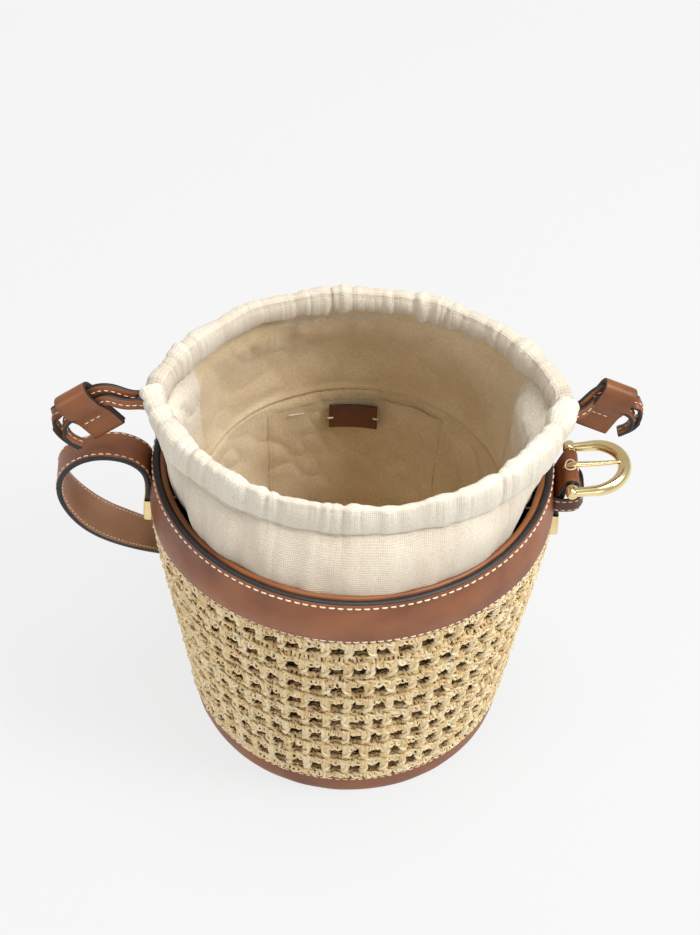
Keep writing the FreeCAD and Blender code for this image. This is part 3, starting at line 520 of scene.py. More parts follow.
class Straw(Build):
    """Collects many straw strands into one row of the wall."""

    def __init__(self, name, seed):
        super().__init__(name, [RAFFIA])
        self.rng = np.random.default_rng(seed)

    def strand(self, place, path, radius, flat, steps, tint, sides=7):
        """A strand is a crumpled ribbon along a path of points (around in mm, z, outward).

        They are measured from place, whose third number, if it has one, stretches or turns them round.
        """
        across, up, way = (*place, 1.0)[:3]
        rng, u = self.rng, spline(np.array(path) * (way, 1, 1) + (across, up, 0), steps)
        theta = FIRST_POST + u[:, 0] / MIDDLE_R
        points = outline(theta, u[:, 1], u[:, 2])
        t = tangents(points)
        side = square_to(t, xyz(np.cos(theta), np.sin(theta), 0.09))
        twist = (rng.uniform(-0.7, 0.7) + np.linspace(0, rng.uniform(-1.3, 1.3), steps))[:, None]
        turn = circle(sides)
        ridge = 1 + 0.16 * np.cos(turn * 3 + rng.uniform(0, 6)) + rng.normal(0, 0.07, (steps, sides))
        ends = np.ones((steps, 1))
        ends[[0, -1]] = 0.6
        r = radius * ridge * ends
        x, y, c, s = np.cos(turn) * r, np.sin(turn) * r * flat, np.cos(twist), np.sin(twist)
        section = np.stack([x * c - y * s, x * s + y * c], -1)
        # painted shade: straw that lies deep in the wall is darkened towards brown
        tone = tint * np.clip((u[:, 2:] + 4.6) / 3.6, 0.18, 1.0)
        across = np.abs(np.linspace(-1, 1, sides)) * radius * 1.6 + rng.uniform(0, 50)
        along = lengths(points)[:, None] + rng.uniform(0, 50)
        self.grid(swept(points, side, np.cross(side, t), section), around=True,
                  tint=np.repeat(tone, sides, 1), strand=xyz(across, along, 0))


def add_raffia():
    for row in range(len(ROW_HEIGHTS)):
        straw = Straw(f"raffia_row_{row + 1}", 100 + row)
        for column in range(COLUMNS):
            add_cell(straw, column * PITCH, row)
        straw.make("raffia", ["raffia_wall"] if row == 0 else ())


def add_cell(straw, u, row):
    """One square of the crochet: a course of legs over a hole, and the post at the hole's left.

    A course leans like a shingle: its top is set back in the shadow of the course above, and its
    lower edge stands out over the next row of holes. Each strand's points are measured from its own
    place on the wall, and outwards from the cone.
    """
    rng, lay = straw.rng, straw.strand

    def off(size):
        return rng.normal(0, size)

    def light():
        return rng.uniform(0.45, 1.0)

    edge = ROW_HEIGHTS[row]
    tall = (ROW_HEIGHTS[row - 1] - HOLE_DROP if row else 148.0) - edge
    # the legs of the course, side by side
    for k in range(5):
        x = u + (k + 0.5) * PITCH / 5 + off(0.25)
        lay((x, edge, 0.4 + off(0.7)), [
            (-1, tall - 1.8 + off(0.4), -4.2), (-0.7, tall - 0.1, -2.7 + off(0.3)),
            (0, tall * 0.5, -0.9 + off(0.5)), (0.4, 1.7, -0.1 + off(0.4)), (0.8, off(0.4), 0.1),
            (1, 1.2, -2.6)], 0.98 + off(0.16), 0.72, 9, light())
    # the braided chain that ends the course
    for half in (0, 1):
        a = u + PITCH * half / 2 + off(0.4)
        lay((a, edge + 2.0 + off(0.5)), [
            (-1.7, -1.1, -1.0), (0.2, 0.6 + off(0.4), 0.2), (2.3, 0.4 + off(0.45), 0.8 + off(0.25)),
            (4.6, -0.8 + off(0.4), 0.4), (6.4, -1.6, -0.8)], 0.9 + off(0.15), 0.66, 8, light())
    # knots of straw that lie over the legs
    for k in range(2):
        a = u + PITCH * rng.uniform(0.12, 0.8)
        up = tall * rng.uniform(0.35, 0.8)
        o = 0.2 - 3.4 * up / tall
        lay((a, edge + up, rng.choice((-1, 1))), [
            (-1.9, -0.8, o - 1.0), (-0.6, 0.5, o + 0.9), (0.8, 0.6, o + 0.9), (2.0, -0.6, o - 0.9)],
            0.8 + off(0.12), 0.62, 6, light(), 6)
    # ragged little loops hanging from the chain
    for k in range(5):
        x = u + PITCH * (k + 0.45) / 5 + off(0.6)
        low = -0.2 - abs(off(0.8))
        lay((x, edge), [(-1.2, 2.6 + off(0.4), 0.0), (-0.6, low, 1.3 + off(0.3)),
                        (0.6, low - 0.1 + off(0.4), 1.2), (1.3, 2.0, 0.2)],
            0.74 + off(0.12), 0.62, 7, rng.uniform(0.6, 1.0), 6)
    # straw behind, so that the course is closed, darkened with painted shade
    for z, push in ((tall - 3.4, -4.4), (2.0, -2.9)):
        lay((u, edge + z), [(-1, 0, push), (PITCH * 0.5, off(0.3), push + 0.2), (PITCH + 1, 0, push)],
            1.6, 0.9, 5, 0.2, 6)
    if row == len(ROW_HEIGHTS) - 1:
        return
    foot, head = edge - HOLE_DROP - 0.4, HOLE_DROP + 0.4
    x = u + off(0.25)
    # the post: four strands twisted about each other, and a wrap across them
    for way, fat in ((1, 1.1), (-1, 1.1), (0.35, 0.8), (-0.5, 0.8)):
        lay((x, foot), [
            (-way * 2.2, -1.8, -1.6), (-way * 1.6, 0.6, -0.3), (way * 0.4 + off(0.2), 4.0, 0.7 + way * 0.5),
            (way * 1.2 + off(0.2), 7.2, 0.9 - abs(way) * 0.2), (way * 0.8, head + 0.2, 1.1),
            (way * 1.8, head + 2.9, 0.8)], fat + off(0.14), 0.74, 11, light())
    lay((x, foot, -1 if rng.random() < 0.25 else 1), [
        (-2.3, 2.7 + off(0.5), -1.0), (-0.9, 4.5, 1.5), (1.1, 6.1, 1.8 + off(0.2)),
        (2.4, 7.6 + off(0.6), -0.6)], 0.95 + off(0.12), 0.62, 8, rng.uniform(0.75, 1.0))
    for way in (-1, 1):
        lay((x, foot, way), [(0.4, 3.0, 0.7), (1.6, 0.8 + off(0.5), -0.2), (3.3, -1.0 + off(0.5), -2.0)],
            0.85 + off(0.12), 0.65, 6, light(), 6)
    # slanting strands at the bottom of the hole, in shadow
    for k in range(2):
        a = u + PITCH * rng.uniform(0.3, 0.8)
        lay((a, foot + 0.7 + off(0.3), rng.choice((-1, 1))), [
            (-2.4, -1.6, -3.6), (0, 0.1, -3.4), (2.4, -1.2, -2.6)], 0.8, 0.65, 6, rng.uniform(0.2, 0.6), 6)
    for k in range(2):
        a = u + PITCH * (0.36 + 0.32 * k) + off(0.3)
        lay((a, foot + 0.4 + off(0.4)), [
            (-2.0, -2.3, -1.5), (-0.2, -0.4 + off(0.4), -1.9), (2.2, -1.9, -1.1)],
            0.85 + off(0.12), 0.65, 6, rng.uniform(0.3, 0.75), 6)
    # here and there a stray end
    if rng.random() < 0.3:
        lay((u + PITCH * rng.uniform(0.2, 0.8), edge), [
            (0, 2, 0.8), (off(1.2), -0.6, 1.6), (off(2.2), -2.0 + off(0.8), 1.0)], 0.36, 0.7, 6, 0.95, 5)


def add_backing():
    """The dark facing behind the band, and the lining's shadowed outside behind the holes."""
    theta = circle(180)
    facing = Build("facing", [DARK])
    facing.grid(np.stack([outline(theta, z, -6.9) for z in (132.0, 150.0, 170.5)], 1), along=True)
    facing.make("facing", ["band_facing"])
    lining = Build("lining_outside", [SHADED])
    theta, z = theta[:, None], np.linspace(5.5, 136, 24)
    lining.grid(outline(theta, z, -7.6 + 0.5 * smooth_noise(theta * 5, z / 22, 33)), along=True)
    lining.make("lining")


# ---- linen liner

# how high the seam round the lining is
SEAM_Z = 139.6
# height and radius of the lining where it is round, from its top to the bottom
LINING_ROUNDS = [(168, 83.0), (154, 81.8), (140, 80.2), (120, 79.0), (90, 77.6), (50, 76.0), (14, 74.9),
                 (6.2, 73.6)]

MOUTH_HALF, MOUTH_X, MOUTH_Y = 108.0, 2.5, -4.0
FRONT_SAG, BACK_SAG = 70.0, 76.0


def mouth_point(share, sign, inset, z):
    """A point on the mouth's front (-1) or back (+1) arc; share runs from -1 at the left tip to 1."""
    sagitta = FRONT_SAG if sign < 0 else BACK_SAG
    radius = (MOUTH_HALF ** 2 + sagitta ** 2) / (2 * sagitta)
    centre = MOUTH_Y + sign * (sagitta - radius)
    reach = math.acos(min(1, abs(MOUTH_Y - centre) / radius))
    angle = reach * share * (0.9925 - 0.0075 * share)
    push = 4.6 * np.clip(1 - share ** 2, 0, 1) ** 0.8 if sign < 0 else 0.0
    r = radius - inset + push
    return xyz(MOUTH_X + r * np.sin(angle), centre + sign * r * np.cos(angle), z)


def foot_point(share, sign, radius, z):
    """The matching point on a round section; the tips lie on the fitting line."""
    angle = np.where(sign < 0, -math.pi / 2, math.pi / 2) + share * (math.pi / 2 + sign * 0.05) * -sign
    return xyz(radius * np.cos(angle), radius * np.sin(angle), z)


def gathers(share, seed, count):
    """Gathers along the casing, about -1 to 1: rounded ridges between sharp, uneven valleys."""
    x = share * count + 60

    def ridge(at, line, key):
        return 2 * np.abs(smooth_noise(at, line, key, 128)) ** 0.75 - 0.9

    wave = (ridge(x, 0.3, seed) + 0.55 * ridge(x * 2.1, 3.7, seed + 1)
            + 0.3 * smooth_noise(x * 4.1, 8.1, seed + 2, 128))
    return wave * (0.62 + 0.38 * smooth_noise(x * 0.37, 5.5, seed + 3, 128))


def add_liner_half(sign, node_tail):
    """One outer panel with its casing: up from the piping, over the mouth's edge and down inside."""
    front, seed = sign < 0, 40 + sign * 7
    share = np.linspace(-1, 1, 760)
    away = np.abs(share)
    flat = 1 - away ** 4
    wave, wave2 = gathers(share, seed, 13), gathers(share * 1.05 + 0.2, seed + 20, 11)
    tip = 1 - 0.8 * ease(away, 0.9, 0.1)
    corner = ease(away, 0.74, 0.24)
    top = 221.8 + (-3.4 if front else 3.4) * flat + (1.3 if front else 1.8) * wave * tip
    top = top + 1.1 * smooth_noise(share * 7 + 9, 1.0, seed + 5)
    if not front:
        top = top - 5.2 * ease(away, 0.92, 0.05)
    seam_z = (200.8 if front else 203.0) + 0.9 * smooth_noise(share * 13 + 20, 4.0, seed + 6) + 9.0 * corner
    low_z = (204.0 if front else 207.0 + 4.6 * flat) + (1.0 if front else 2.6) * wave2 * tip
    outward = unit(mouth_point(share, sign, 0.0, 0.0) - mouth_point(share, sign, 10.0, 0.0))
    dip = 3.4 * hump(away, 0.74, 0.075)
    foot_r = 92.2 + 0.7 * smooth_noise(share * 5 + 3, 0.5, seed + 8) - (dip if front else 0)
    depth = (5.4 if front else 6.9) + 1.8 * corner + (4.2 if front else 1.6) * ease(away, 0.35, 0.4)
    pinch = ease(away, 0.6, 0.4) * np.where(share > 0, 10.0, 6.5)
    foot_r = foot_r + (2.4 if front else 0.6) * np.clip(1 - share ** 2 * 2.2, 0, 1)
    a = foot_point(share, sign, foot_r, 170.0)
    b = mouth_point(share, sign, 1.0 + 2.5 * corner, seam_z)
    folds = smooth_noise(share * 9 + 5, 2.2, seed + 9) + 0.8 * gathers(share, seed + 30, 8)
    loose = 1 - ease(share, 0.5, 0.4) - 0.35 * ease(-share, 0.5, 0.45)
    rows, cloth, tint = [], [], []
    for t in np.linspace(0, 1, 34):
        belly = 3.6 * math.sin(math.pi * min(1, t * 1.02)) ** 0.8 * (1 - 0.25 * math.cos(math.pi * t)) * loose
        fold = 1.1 * folds * math.sin(math.pi * (0.12 + 0.8 * t)) + 1.2 * t ** 2 * wave * tip
        fold = fold + 0.6 * smooth_noise(share * 22, t * 3.0 + 4, seed + 11)
        belly = belly - pinch * math.sin(math.pi * t ** 1.15)
        rows.append(a * (1 - t) + b * t + outward * (belly + fold)[:, None])
        cloth.append(t * 36)
        # the collar is a slightly darker linen; painted shade darkens it further towards the rim and in the
        # valleys of its folds
        tint.append(np.clip(0.62 - 0.3 * t - 0.12 * folds, 0, 1))
    slant = 0.012 * smooth_noise(share * 8 + 30, 2.0, seed + 12)
    for t in np.linspace(0, 1, 46)[1:]:
        drift = gathers(share + slant * t * 2.5, seed, 13)
        pleat = (0.75 * drift + 0.25 * gathers(share, seed + 40, 27)) * tip
        if t < 0.42:
            h = t / 0.42
            bulge = math.sin(math.pi * min(1, h * 0.97)) ** 0.6
            z = seam_z + (top - 2.6 - seam_z) * h
            inset, push = 0.7 + 2.5 * corner * (1 - h) ** 2, bulge + (1.1 + 0.9 * h) * pleat
        elif t < 0.6:
            h = (t - 0.42) / 0.18
            inset = 0.7 + (1 - math.cos(h * math.pi)) / 2 * (depth - 0.7)
            z = top - 2.6 + 2.6 * math.sin(h * math.pi) ** 0.7 + 0.4 * math.sin(h * math.pi) * wave2
            push = (2.0 - 4.0 * h) * pleat
        else:
            h = (t - 0.6) / 0.4
            bulge = 1.4 * math.sin(math.pi * h) ** 0.7
            z = (top - 2.6) * (1 - h) + low_z * h
            inset, push = depth, -(bulge + (2.2 - 0.3 * h) * pleat)
        rows.append(mouth_point(share, sign, inset, z) + outward * push[:, None])
        cloth.append(36 + t * 44)
        # painted shade in the valleys between the gathers; the back casing is darker all over
        tint.append(np.clip((0.0 if front else 0.32) - 0.3 * pleat, 0, 0.8))
    points = np.stack(rows, 0)
    # a pulled-in line where the casing is sewn to the panel
    crease = np.zeros(len(rows))
    crease[32:36] = -0.2, -0.65, -0.5, -0.15
    points += outward[None] * (crease[:, None, None] * (1 + 0.5 * wave[None, :, None]))
    build = Build("liner_" + node_tail, [LINEN])
    build.grid(points, cloth=xyz(share * 165, np.array(cloth)[:, None], 0), tint=np.stack(tint))
    piece = build.make("linen", ["collar_" + node_tail, "casing_" + node_tail], thick=0.7)


def add_lining():
    """The tan lining inside: from under the casing down to the seam, and on to the bottom.

    The slip pocket is cut out of its own grid, so that it lies flat against it.
    """
    count, rows = 520, 170
    angle = circle(count)
    front = angle < math.pi
    # angle 0 is the left tip, then along the front to the right tip and back along the rear
    share = np.where(front, -1 + 2 * angle / math.pi, 3 - 2 * angle / math.pi)
    away = np.abs(share)
    high = np.where(front, 208.0, 209.5 + 4.6 * (1 - away ** 4))

    def both(point, size, z):
        return np.where(front[:, None], point(share, -1, size, z), point(share, 1, size, z))

    flat = both(mouth_point, 2.6 + 2.0 * ease(away, 0.74, 0.24), 0)
    out = unit(flat)
    tip = ease(away, 0.55, 0.4)[:, None]
    foot = both(foot_point, 84.0, 0)
    line = [flat + high[:, None] * Z,
            flat * (0.75 - 0.42 * tip) + foot * (0.23 + 0.41 * tip) + 199.0 * Z,
            flat * (0.4 - 0.28 * tip) + foot * (0.58 + 0.28 * tip) + 186.0 * Z]
    for z, r in LINING_ROUNDS:
        line.append(both(foot_point, r, z))
    points = spline(np.reshape(line, (len(line), -1)), rows).reshape(rows, count, 3)
    z = points[..., 2]
    upper = ease(z, 141, 62)
    fold = gathers(share + np.where(front, 0, 0.6), 71, 10)
    wrinkle = 1.5 * fold[None] * ease(z, 168, 24) * (1 - ease(z, 195, 9))
    wrinkle = wrinkle + 1.5 * smooth_noise(share[None] * 4.5 + np.where(front, 0, 9)[None], z / 34, 81)
    slanted = smooth_noise(share[None] * 11 + z / 26, z / 17, 83)
    wrinkle = wrinkle + 0.9 * (1 - 2 * np.abs(slanted) ** 0.7) * (1 - 0.35 * upper)
    calm = 1 - hump(z, SEAM_Z, 2.4) * 0.85
    calm = calm * ease(z, 6, 8) * (1 - 0.9 * ease(z, 195, 9))
    groove = 1.5 * hump(z, SEAM_Z, 0.75) - 0.7 * hump(z, 142.0, 1.4)
    turn = np.degrees(np.arctan2(points[..., 1], points[..., 0]))
    for seam in (16.0, 161.0):
        groove = groove + 1.3 * hump(turn, seam, 0.55)
    points = points + out[None] * (wrinkle * calm + groove)[..., None]
    s = np.linalg.norm(np.diff(points, axis=0), axis=2).cumsum(0).mean(1)
    fabric = xyz(angle * 85, np.concatenate([[0], s])[:, None], 0)
    build = Build("lining", [LINING])
    # painted light: at both tips the lining inside is painted paler towards the top, up to a seam at each
    # side
    side = ease(18 - turn, 0, 3) * (turn > -90) + ease(turn, 159, 3) + (turn < -90)
    painted_light = np.clip(side, 0, 1) * ease(z, 146, 40) * 0.9
    build.grid(points, around=True, cloth=fabric, tint=painted_light)
    piece = build.make("lining", ["lining_upper", "lining_lower"])

    # a flat slip pocket lies against the lining's back
    height = z.mean(1)
    row = np.where((height < 134.3) & (height > 56))[0]
    column = np.where(np.abs(turn[row[0]] - 90) < 36)[0]
    part = points[np.ix_(row, column)]
    k = np.arange(len(column))
    down = np.arange(len(row))[::-1, None]
    gap = 0.25 + 0.75 * ease(np.minimum(k, k[::-1]), 0, 3) * ease(down, 0, 3)
    pocket = Build("slip_pocket", [LINING])
    pocket.grid(part - out[column][None] * gap[..., None], cloth=fabric[np.ix_(row, column)] + [7.0, 3.0, 0])
    piece = pocket.make("lining", ["inner_pocket"])

    floor = Build("lining_floor", [LINING])
    r, a = np.linspace(0.3, 74.2, 22)[:, None], circle(120)
    x, y = r * np.cos(a), r * np.sin(a)
    height = 5.4 + 0.5 * smooth_noise(x / 20 + 20, y / 20 + 20, 91)
    floor.grid(xyz(x, y, height), around=True, cloth=xyz(x, y, 0))
    piece = floor.make("lining", ["lining_bottom"])


def add_pocket_and_label():
    """The leather patch by the pocket's opening, with its two tacks, and the pocket's own bar-tack."""
    patch = Build("label_patch_piece", [DARK, EDGE])
    x, place = np.linspace(-13, 13, 25), 75.8
    centre = xyz(x - 0.6, np.sqrt(place ** 2 - x ** 2) - 0.4, 124.8 - 0.02 * x)
    strip(patch, centre, Z, unit(-centre * (X + Y)), rounded_profile(17.0, 1.5, 0.5, 0.3, 7))
    patch.make("piping", ["label_patch"])
    tacks = Build("label_tacks", [THREAD])
    deep = math.sqrt(place ** 2 - 12.4 ** 2) - 1.4
    for c, up, size in (((-12.8, deep, 124.8), Z, (3.4, 1.3, 0.15, 5)),
                        ((11.6, deep, 124.8), Z, (3.4, 1.3, 0.15, 5)),
                        ((-31.5, 69.2, 131.0), (0.25, 0, 1.0), (10.0, 0.9, 0.3, 6))):
        c = np.array([c])
        n = unit(-c * (X + Y))
        stitch_grid(tacks, c, square_to(up, n), n, *size)
    tacks.make("thread")


# ---- shoulder strap

# Both edges of the strap, from its cap to the floor: x y z of the front one, then of the back one.
STRAP_DROP = [
    (-103.15, -16, 139, -103.15, 6, 139), (-103.15, -16, 144, -103.15, 6, 144),
    (-103.15, -16, 149, -103.15, 6, 149), (-103.15, -16, 154, -103.15, 6, 154),
    (-102.9, -16, 162, -102.9, 6, 160.5), (-104.7, -16, 172.2, -104.5, 6, 169.6),
    (-110.5, -16, 178.6, -110.5, 6, 175.2), (-118.5, -16, 181.6, -119, 6, 178),
    (-127.5, -16, 181.6, -128, 6, 176.8), (-136.9, -16, 177.9, -137.5, 6, 173),
    (-143.9, -16, 170.8, -145.3, 6, 167.4), (-147.8, -16, 160.5, -149, 6, 160),
    (-147.6, -16, 150.4, -148.2, 6, 152), (-144.3, -16, 140.2, -144.8, 6, 145.2),
    (-138.4, -15.5, 129.4, -139.4, 6, 138), (-130.6, -14, 119.8, -132.6, 7, 130),
    (-121.2, -11.5, 111.2, -125, 9, 122), (-111.6, -7.5, 102.6, -117, 12, 114),
    (-103, -1, 92.6, -110.4, 16.5, 105), (-96.8, 8.5, 80, -104.4, 23, 95.6),
    (-91.5, 21, 65, -98.4, 33, 83.6), (-85, 37, 49, -91, 45.5, 69.6),
    (-75.5, 55, 33, -80, 60.5, 54), (-61.5, 74, 18.5, -64.5, 77.5, 40),
    (-43, 91, 7, -44.5, 93, 29), (-21, 103, 1.4, -21.5, 104, 23.4), (4, 111, 0.4, 4, 111.4, 22.4),
]
# From there it stands on its edge on the floor: x and y.
STRAP_FLOOR = [
    (29, 119), (53, 131), (71, 149), (77, 171), (66, 191), (43, 203), (14, 207), (-17, 205),
    (-45, 197), (-65, 181), (-69, 160), (-55, 145), (-32, 142), (-7, 146), (18, 153), (40, 163),
]


def add_strap():
    edges = STRAP_DROP + [(x, y, 0.4, x, y, 22.4) for x, y in STRAP_FLOOR]
    edges = np.array(edges, float).reshape(-1, 2, 3)
    middle, half = edges.mean(1), unit(edges[:, 1] - edges[:, 0]) * 11
    front, back = spline(middle - half, 460), spline(middle + half, 460)
    centre, across = (front + back) / 2, unit(back - front)
    along = tangents(centre)
    normal = square_to(along, across)
    section, edge = rounded_profile(21.6, 2.9, 0.75, 0.3)
    # the free end is rounded off over its last centimetre
    s = lengths(centre)
    left = s[-1] - s
    width = np.where(left < 11, np.sqrt(np.clip(1 - ((11 - left) / 11) ** 2, 0.02, 1)), 1.0)
    build = Build("strap", [LEATHER, EDGE, INNER_SHEEN_LEATHER])
    # the inner face takes the lighter leather, a painted sheen
    inner = (np.array(edge) == 0) & (section[:, 1] + np.roll(section[:, 1], -1) > 0)
    build.grid(swept(centre, across * width[:, None], normal, section), around=True,
               slot=np.where(inner, 2, edge), caps=1)
    build.make("leather", ["strap_outer", "strap_lining"])

    stitches = Build("strap_stitches", [THREAD])
    keep = (s > 14) & (left > 9)
    for side in (-1, 1):
        for face, pitch, length in ((-1, 3.9, 2.7), (1, 2.5, 1.6)):
            line = centre + across * side * 8.9 + normal * face * 1.5
            stitch_line(stitches, line[keep], normal[keep] * face, pitch, length, lift=0.08,
                        seed=20 + side + 2 * face)
    stitches.make("thread")

    holes = Build("strap_holes", [EDGE])
    r = np.array([2.0, 1.75, 1.45, 1.3, 0.05])
    height = np.array([1.43, 1.62, 1.5, 0.9, 0.7])[:, None]
    for k in range(6):
        i = int(np.searchsorted(s, s[-1] - 24 - k * 12))
        for face in (-1, 1):
            holes.grid(swept(centre[i] + normal[i] * face * height, along[i], across[i], oval(16, r, r)),
                       around=True)
    holes.make("leather")


# ---- drawstrings and sliders

# The string's loose ends, from the casing outwards. The front string runs below the back one
# through both sliders.
BACK_LEFT = [
    (-106, -4.6, 214.6), (-112.5, -5.8, 217), (-118.5, -6, 219.8), (-124.6, -6, 219.8),
    (-129.7, -6, 216.95), (-134.5, -6, 213.2), (-139.2, -6, 209.5), (-143.9, -6, 205.8),
    (-147.3, -6, 202.4), (-148.4, -6.2, 196.8), (-146, -7, 190.8), (-141.4, -8, 186.2), (-136, -9, 183.4),
]
BACK_RIGHT = [
    (108.6, -4, 214.6), (112.6, -3.2, 218.2), (116.6, -1.4, 222), (121.4, 0, 223.88), (125.7, 0, 221.89),
    (130, 0, 219.9), (135.5, 0, 217.36), (139.4, 0, 214.2), (141, 0, 209.2), (139.8, -0.3, 203.4),
    (136.2, -0.7, 199), (131.4, -1, 196.6),
]
FRONT_LEFT = [
    (-105.4, -7.0, 214.0), (-110.6, -7.2, 213.8), (-116, -7, 214.6), (-121.2, -6.2, 215.4),
    (-126.3, -6, 212.6), (-131.1, -6, 208.9), (-135.8, -6, 205.2), (-140.4, -6, 201.4),
    (-143, -6.2, 196.8), (-142.6, -6.8, 191.6), (-139, -7.6, 187.6), (-134.4, -8.4, 185.8),
]
FRONT_RIGHT = [
    (108.6, -5.6, 213.8), (112.2, -4.2, 215.0), (115.6, -2, 217.0), (119.6, 0, 219.0), (124, 0, 217.2),
    (128.2, 0, 215.2), (133, 0, 212.8), (136.4, 0, 209.4), (137, -0.2, 204.6), (134.6, -0.5, 200.4),
    (130.6, -0.8, 198.0),
]


def add_drawstrings():
    stitches = Build("drawstring_stitches", [THREAD])
    s = np.linspace(-0.93, 0.93, 15)
    near = ease(np.abs(s), 0.6, 0.33)
    for node, sign, left, right, height in (
            ("drawstring_front", -1, FRONT_LEFT, FRONT_RIGHT, 210.5 + 3.8 * near),
            ("drawstring_back", 1, BACK_LEFT, BACK_RIGHT, 214.0)):
        apart = sign * 1.1 * Y
        arc = mouth_point(s, sign, 3.0 + 2.4 * near, height)
        line = spline(np.vstack([np.array(left[::-1]) + apart, arc, np.array(right) + apart]), 420)
        way = tangents(line)
        flat = xyz(-way[:, 1], way[:, 0], 0)
        steep = np.linalg.norm(flat, axis=1) < 0.35
        up = square_to(way, np.where(steep[:, None], Y, unit(flat)))
        for i in range(1, len(up)):
            if up[i] @ up[i - 1] < 0:
                up[i] = -up[i]
        # past the sliders the loose ends lie with an edge to the front
        gone = lengths(line)
        twist = np.radians(82) * ease((28 - np.minimum(gone, gone[-1] - gone)) / 6)[:, None]
        up = up * np.cos(twist) + square_to(up, way) * np.sin(twist)
        normal = square_to(up, way)
        build = Build(node + "_strip", [LEATHER, EDGE])
        strip(build, line, up, normal, rounded_profile(6.9, 2.1, 0.55, 0.2, 5))
        build.make("leather", [node])
        out = np.abs(line[:, 0] - MOUTH_X) > 101
        for part in (out & (line[:, 0] < 0), out & (line[:, 0] > 0)):
            for face in (-1, 1):
                stitch_line(stitches, (line + normal * face * 1.2)[part], (normal * face)[part], 3.4, 2.3,
                            0.55, lift=0.05, seed=60 + face)
    stitches.make("thread")


def add_slider(side, string, start, end, shift, length):
    """A leather strip folded over both strings, open at both ends, and sewn together below them.

    It lies along the string from its point start to its point end.
    """
    name, body = f"slider_{side}_piece", side + "_slider"
    start, end = np.array(string[start]), np.array(string[end])
    way = unit(end - start)
    middle = start + way * ((4.3 if way[0] > 0 else 6.0) + shift)
    along = way * np.sign(way[0])
    down = square_to(along, Y)
    down = down * -np.sign(down[2])
    # the fold's outline on its middle line, from the front flap's tail over the strings to the back's
    path = [(-1.1, 23.6), (-1.1, 16), (-1.3, 12), (-2.4, 8.5), (-3.6, 5.2), (-3.9, 0.5), (-3.7, -2.8),
            (-2.6, -5.2), (0, -6.1)]
    fold = spline(path + [(-x, y) for x, y in path[::-1][1:]], 46)
    line = middle + Y * fold[:, :1] + down * fold[:, 1:]
    build = Build(name, [ORANGE, EDGE], body)
    strip(build, line, along, square_to(along, tangents(line)), rounded_profile(length, 2.0, 0.6, 0.1, 9))
    build.make("piping", ["slider_" + side])
    stitches = Build(name + "_stitches", [THREAD], body)
    x = np.linspace(-length / 2 + 2.6, length / 2 - 5.5, 24)[:, None]
    for face in (-1, 1):
        stitch_line(stitches, middle + down * 12.4 + along * x + Y * face * 2.35, np.tile(Y * face, (24, 1)),
                    3.3, 2.3, 0.7, lift=0.05, seed=70 + face)
    stitches.make("thread")


# ---- caps, chape, keeper, buckle

# a cap's rings from its closed foot up and back down inside: half sizes, height, corner
CAP_RINGS = [
    (0.1, 9.5, 138.4, 0.05), (1.4, 11.0, 138.0, 0.9), (2.0, 11.6, 138.25, 1.1), (2.25, 11.85, 138.9, 1.1),
    (2.3, 11.9, 141, 1.1), (2.3, 11.9, 149.5, 1.1), (2.3, 11.9, 151.4, 1.1), (2.2, 11.8, 152.0, 1.0),
    (2.0, 11.6, 152.2, 0.9), (1.72, 11.3, 152.1, 0.5), (1.66, 11.2, 151.0, 0.5), (1.66, 11.2, 140.0, 0.5),
]


def add_cap(name, node, sign, flare, drop):
    """A brass end cap folded round the leather, open at the top, with a turned lip."""
    build = Build(name, [BRASS, EDGE])
    c, s = np.cos(circle(48)), np.sin(circle(48))
    hx, hy, z, corner = np.array(CAP_RINGS).T[..., None]
    x = sign * (CAP_X + np.sign(c) * (hx - corner) + c * corner + flare * (152.2 - z) / 14)
    points = xyz(x, FITTING_Y + np.sign(s) * (hy - corner) + s * corner, z + drop)
    build.grid(points if sign > 0 else points[:, ::-1], around=True)
    build.make("brass", [node])


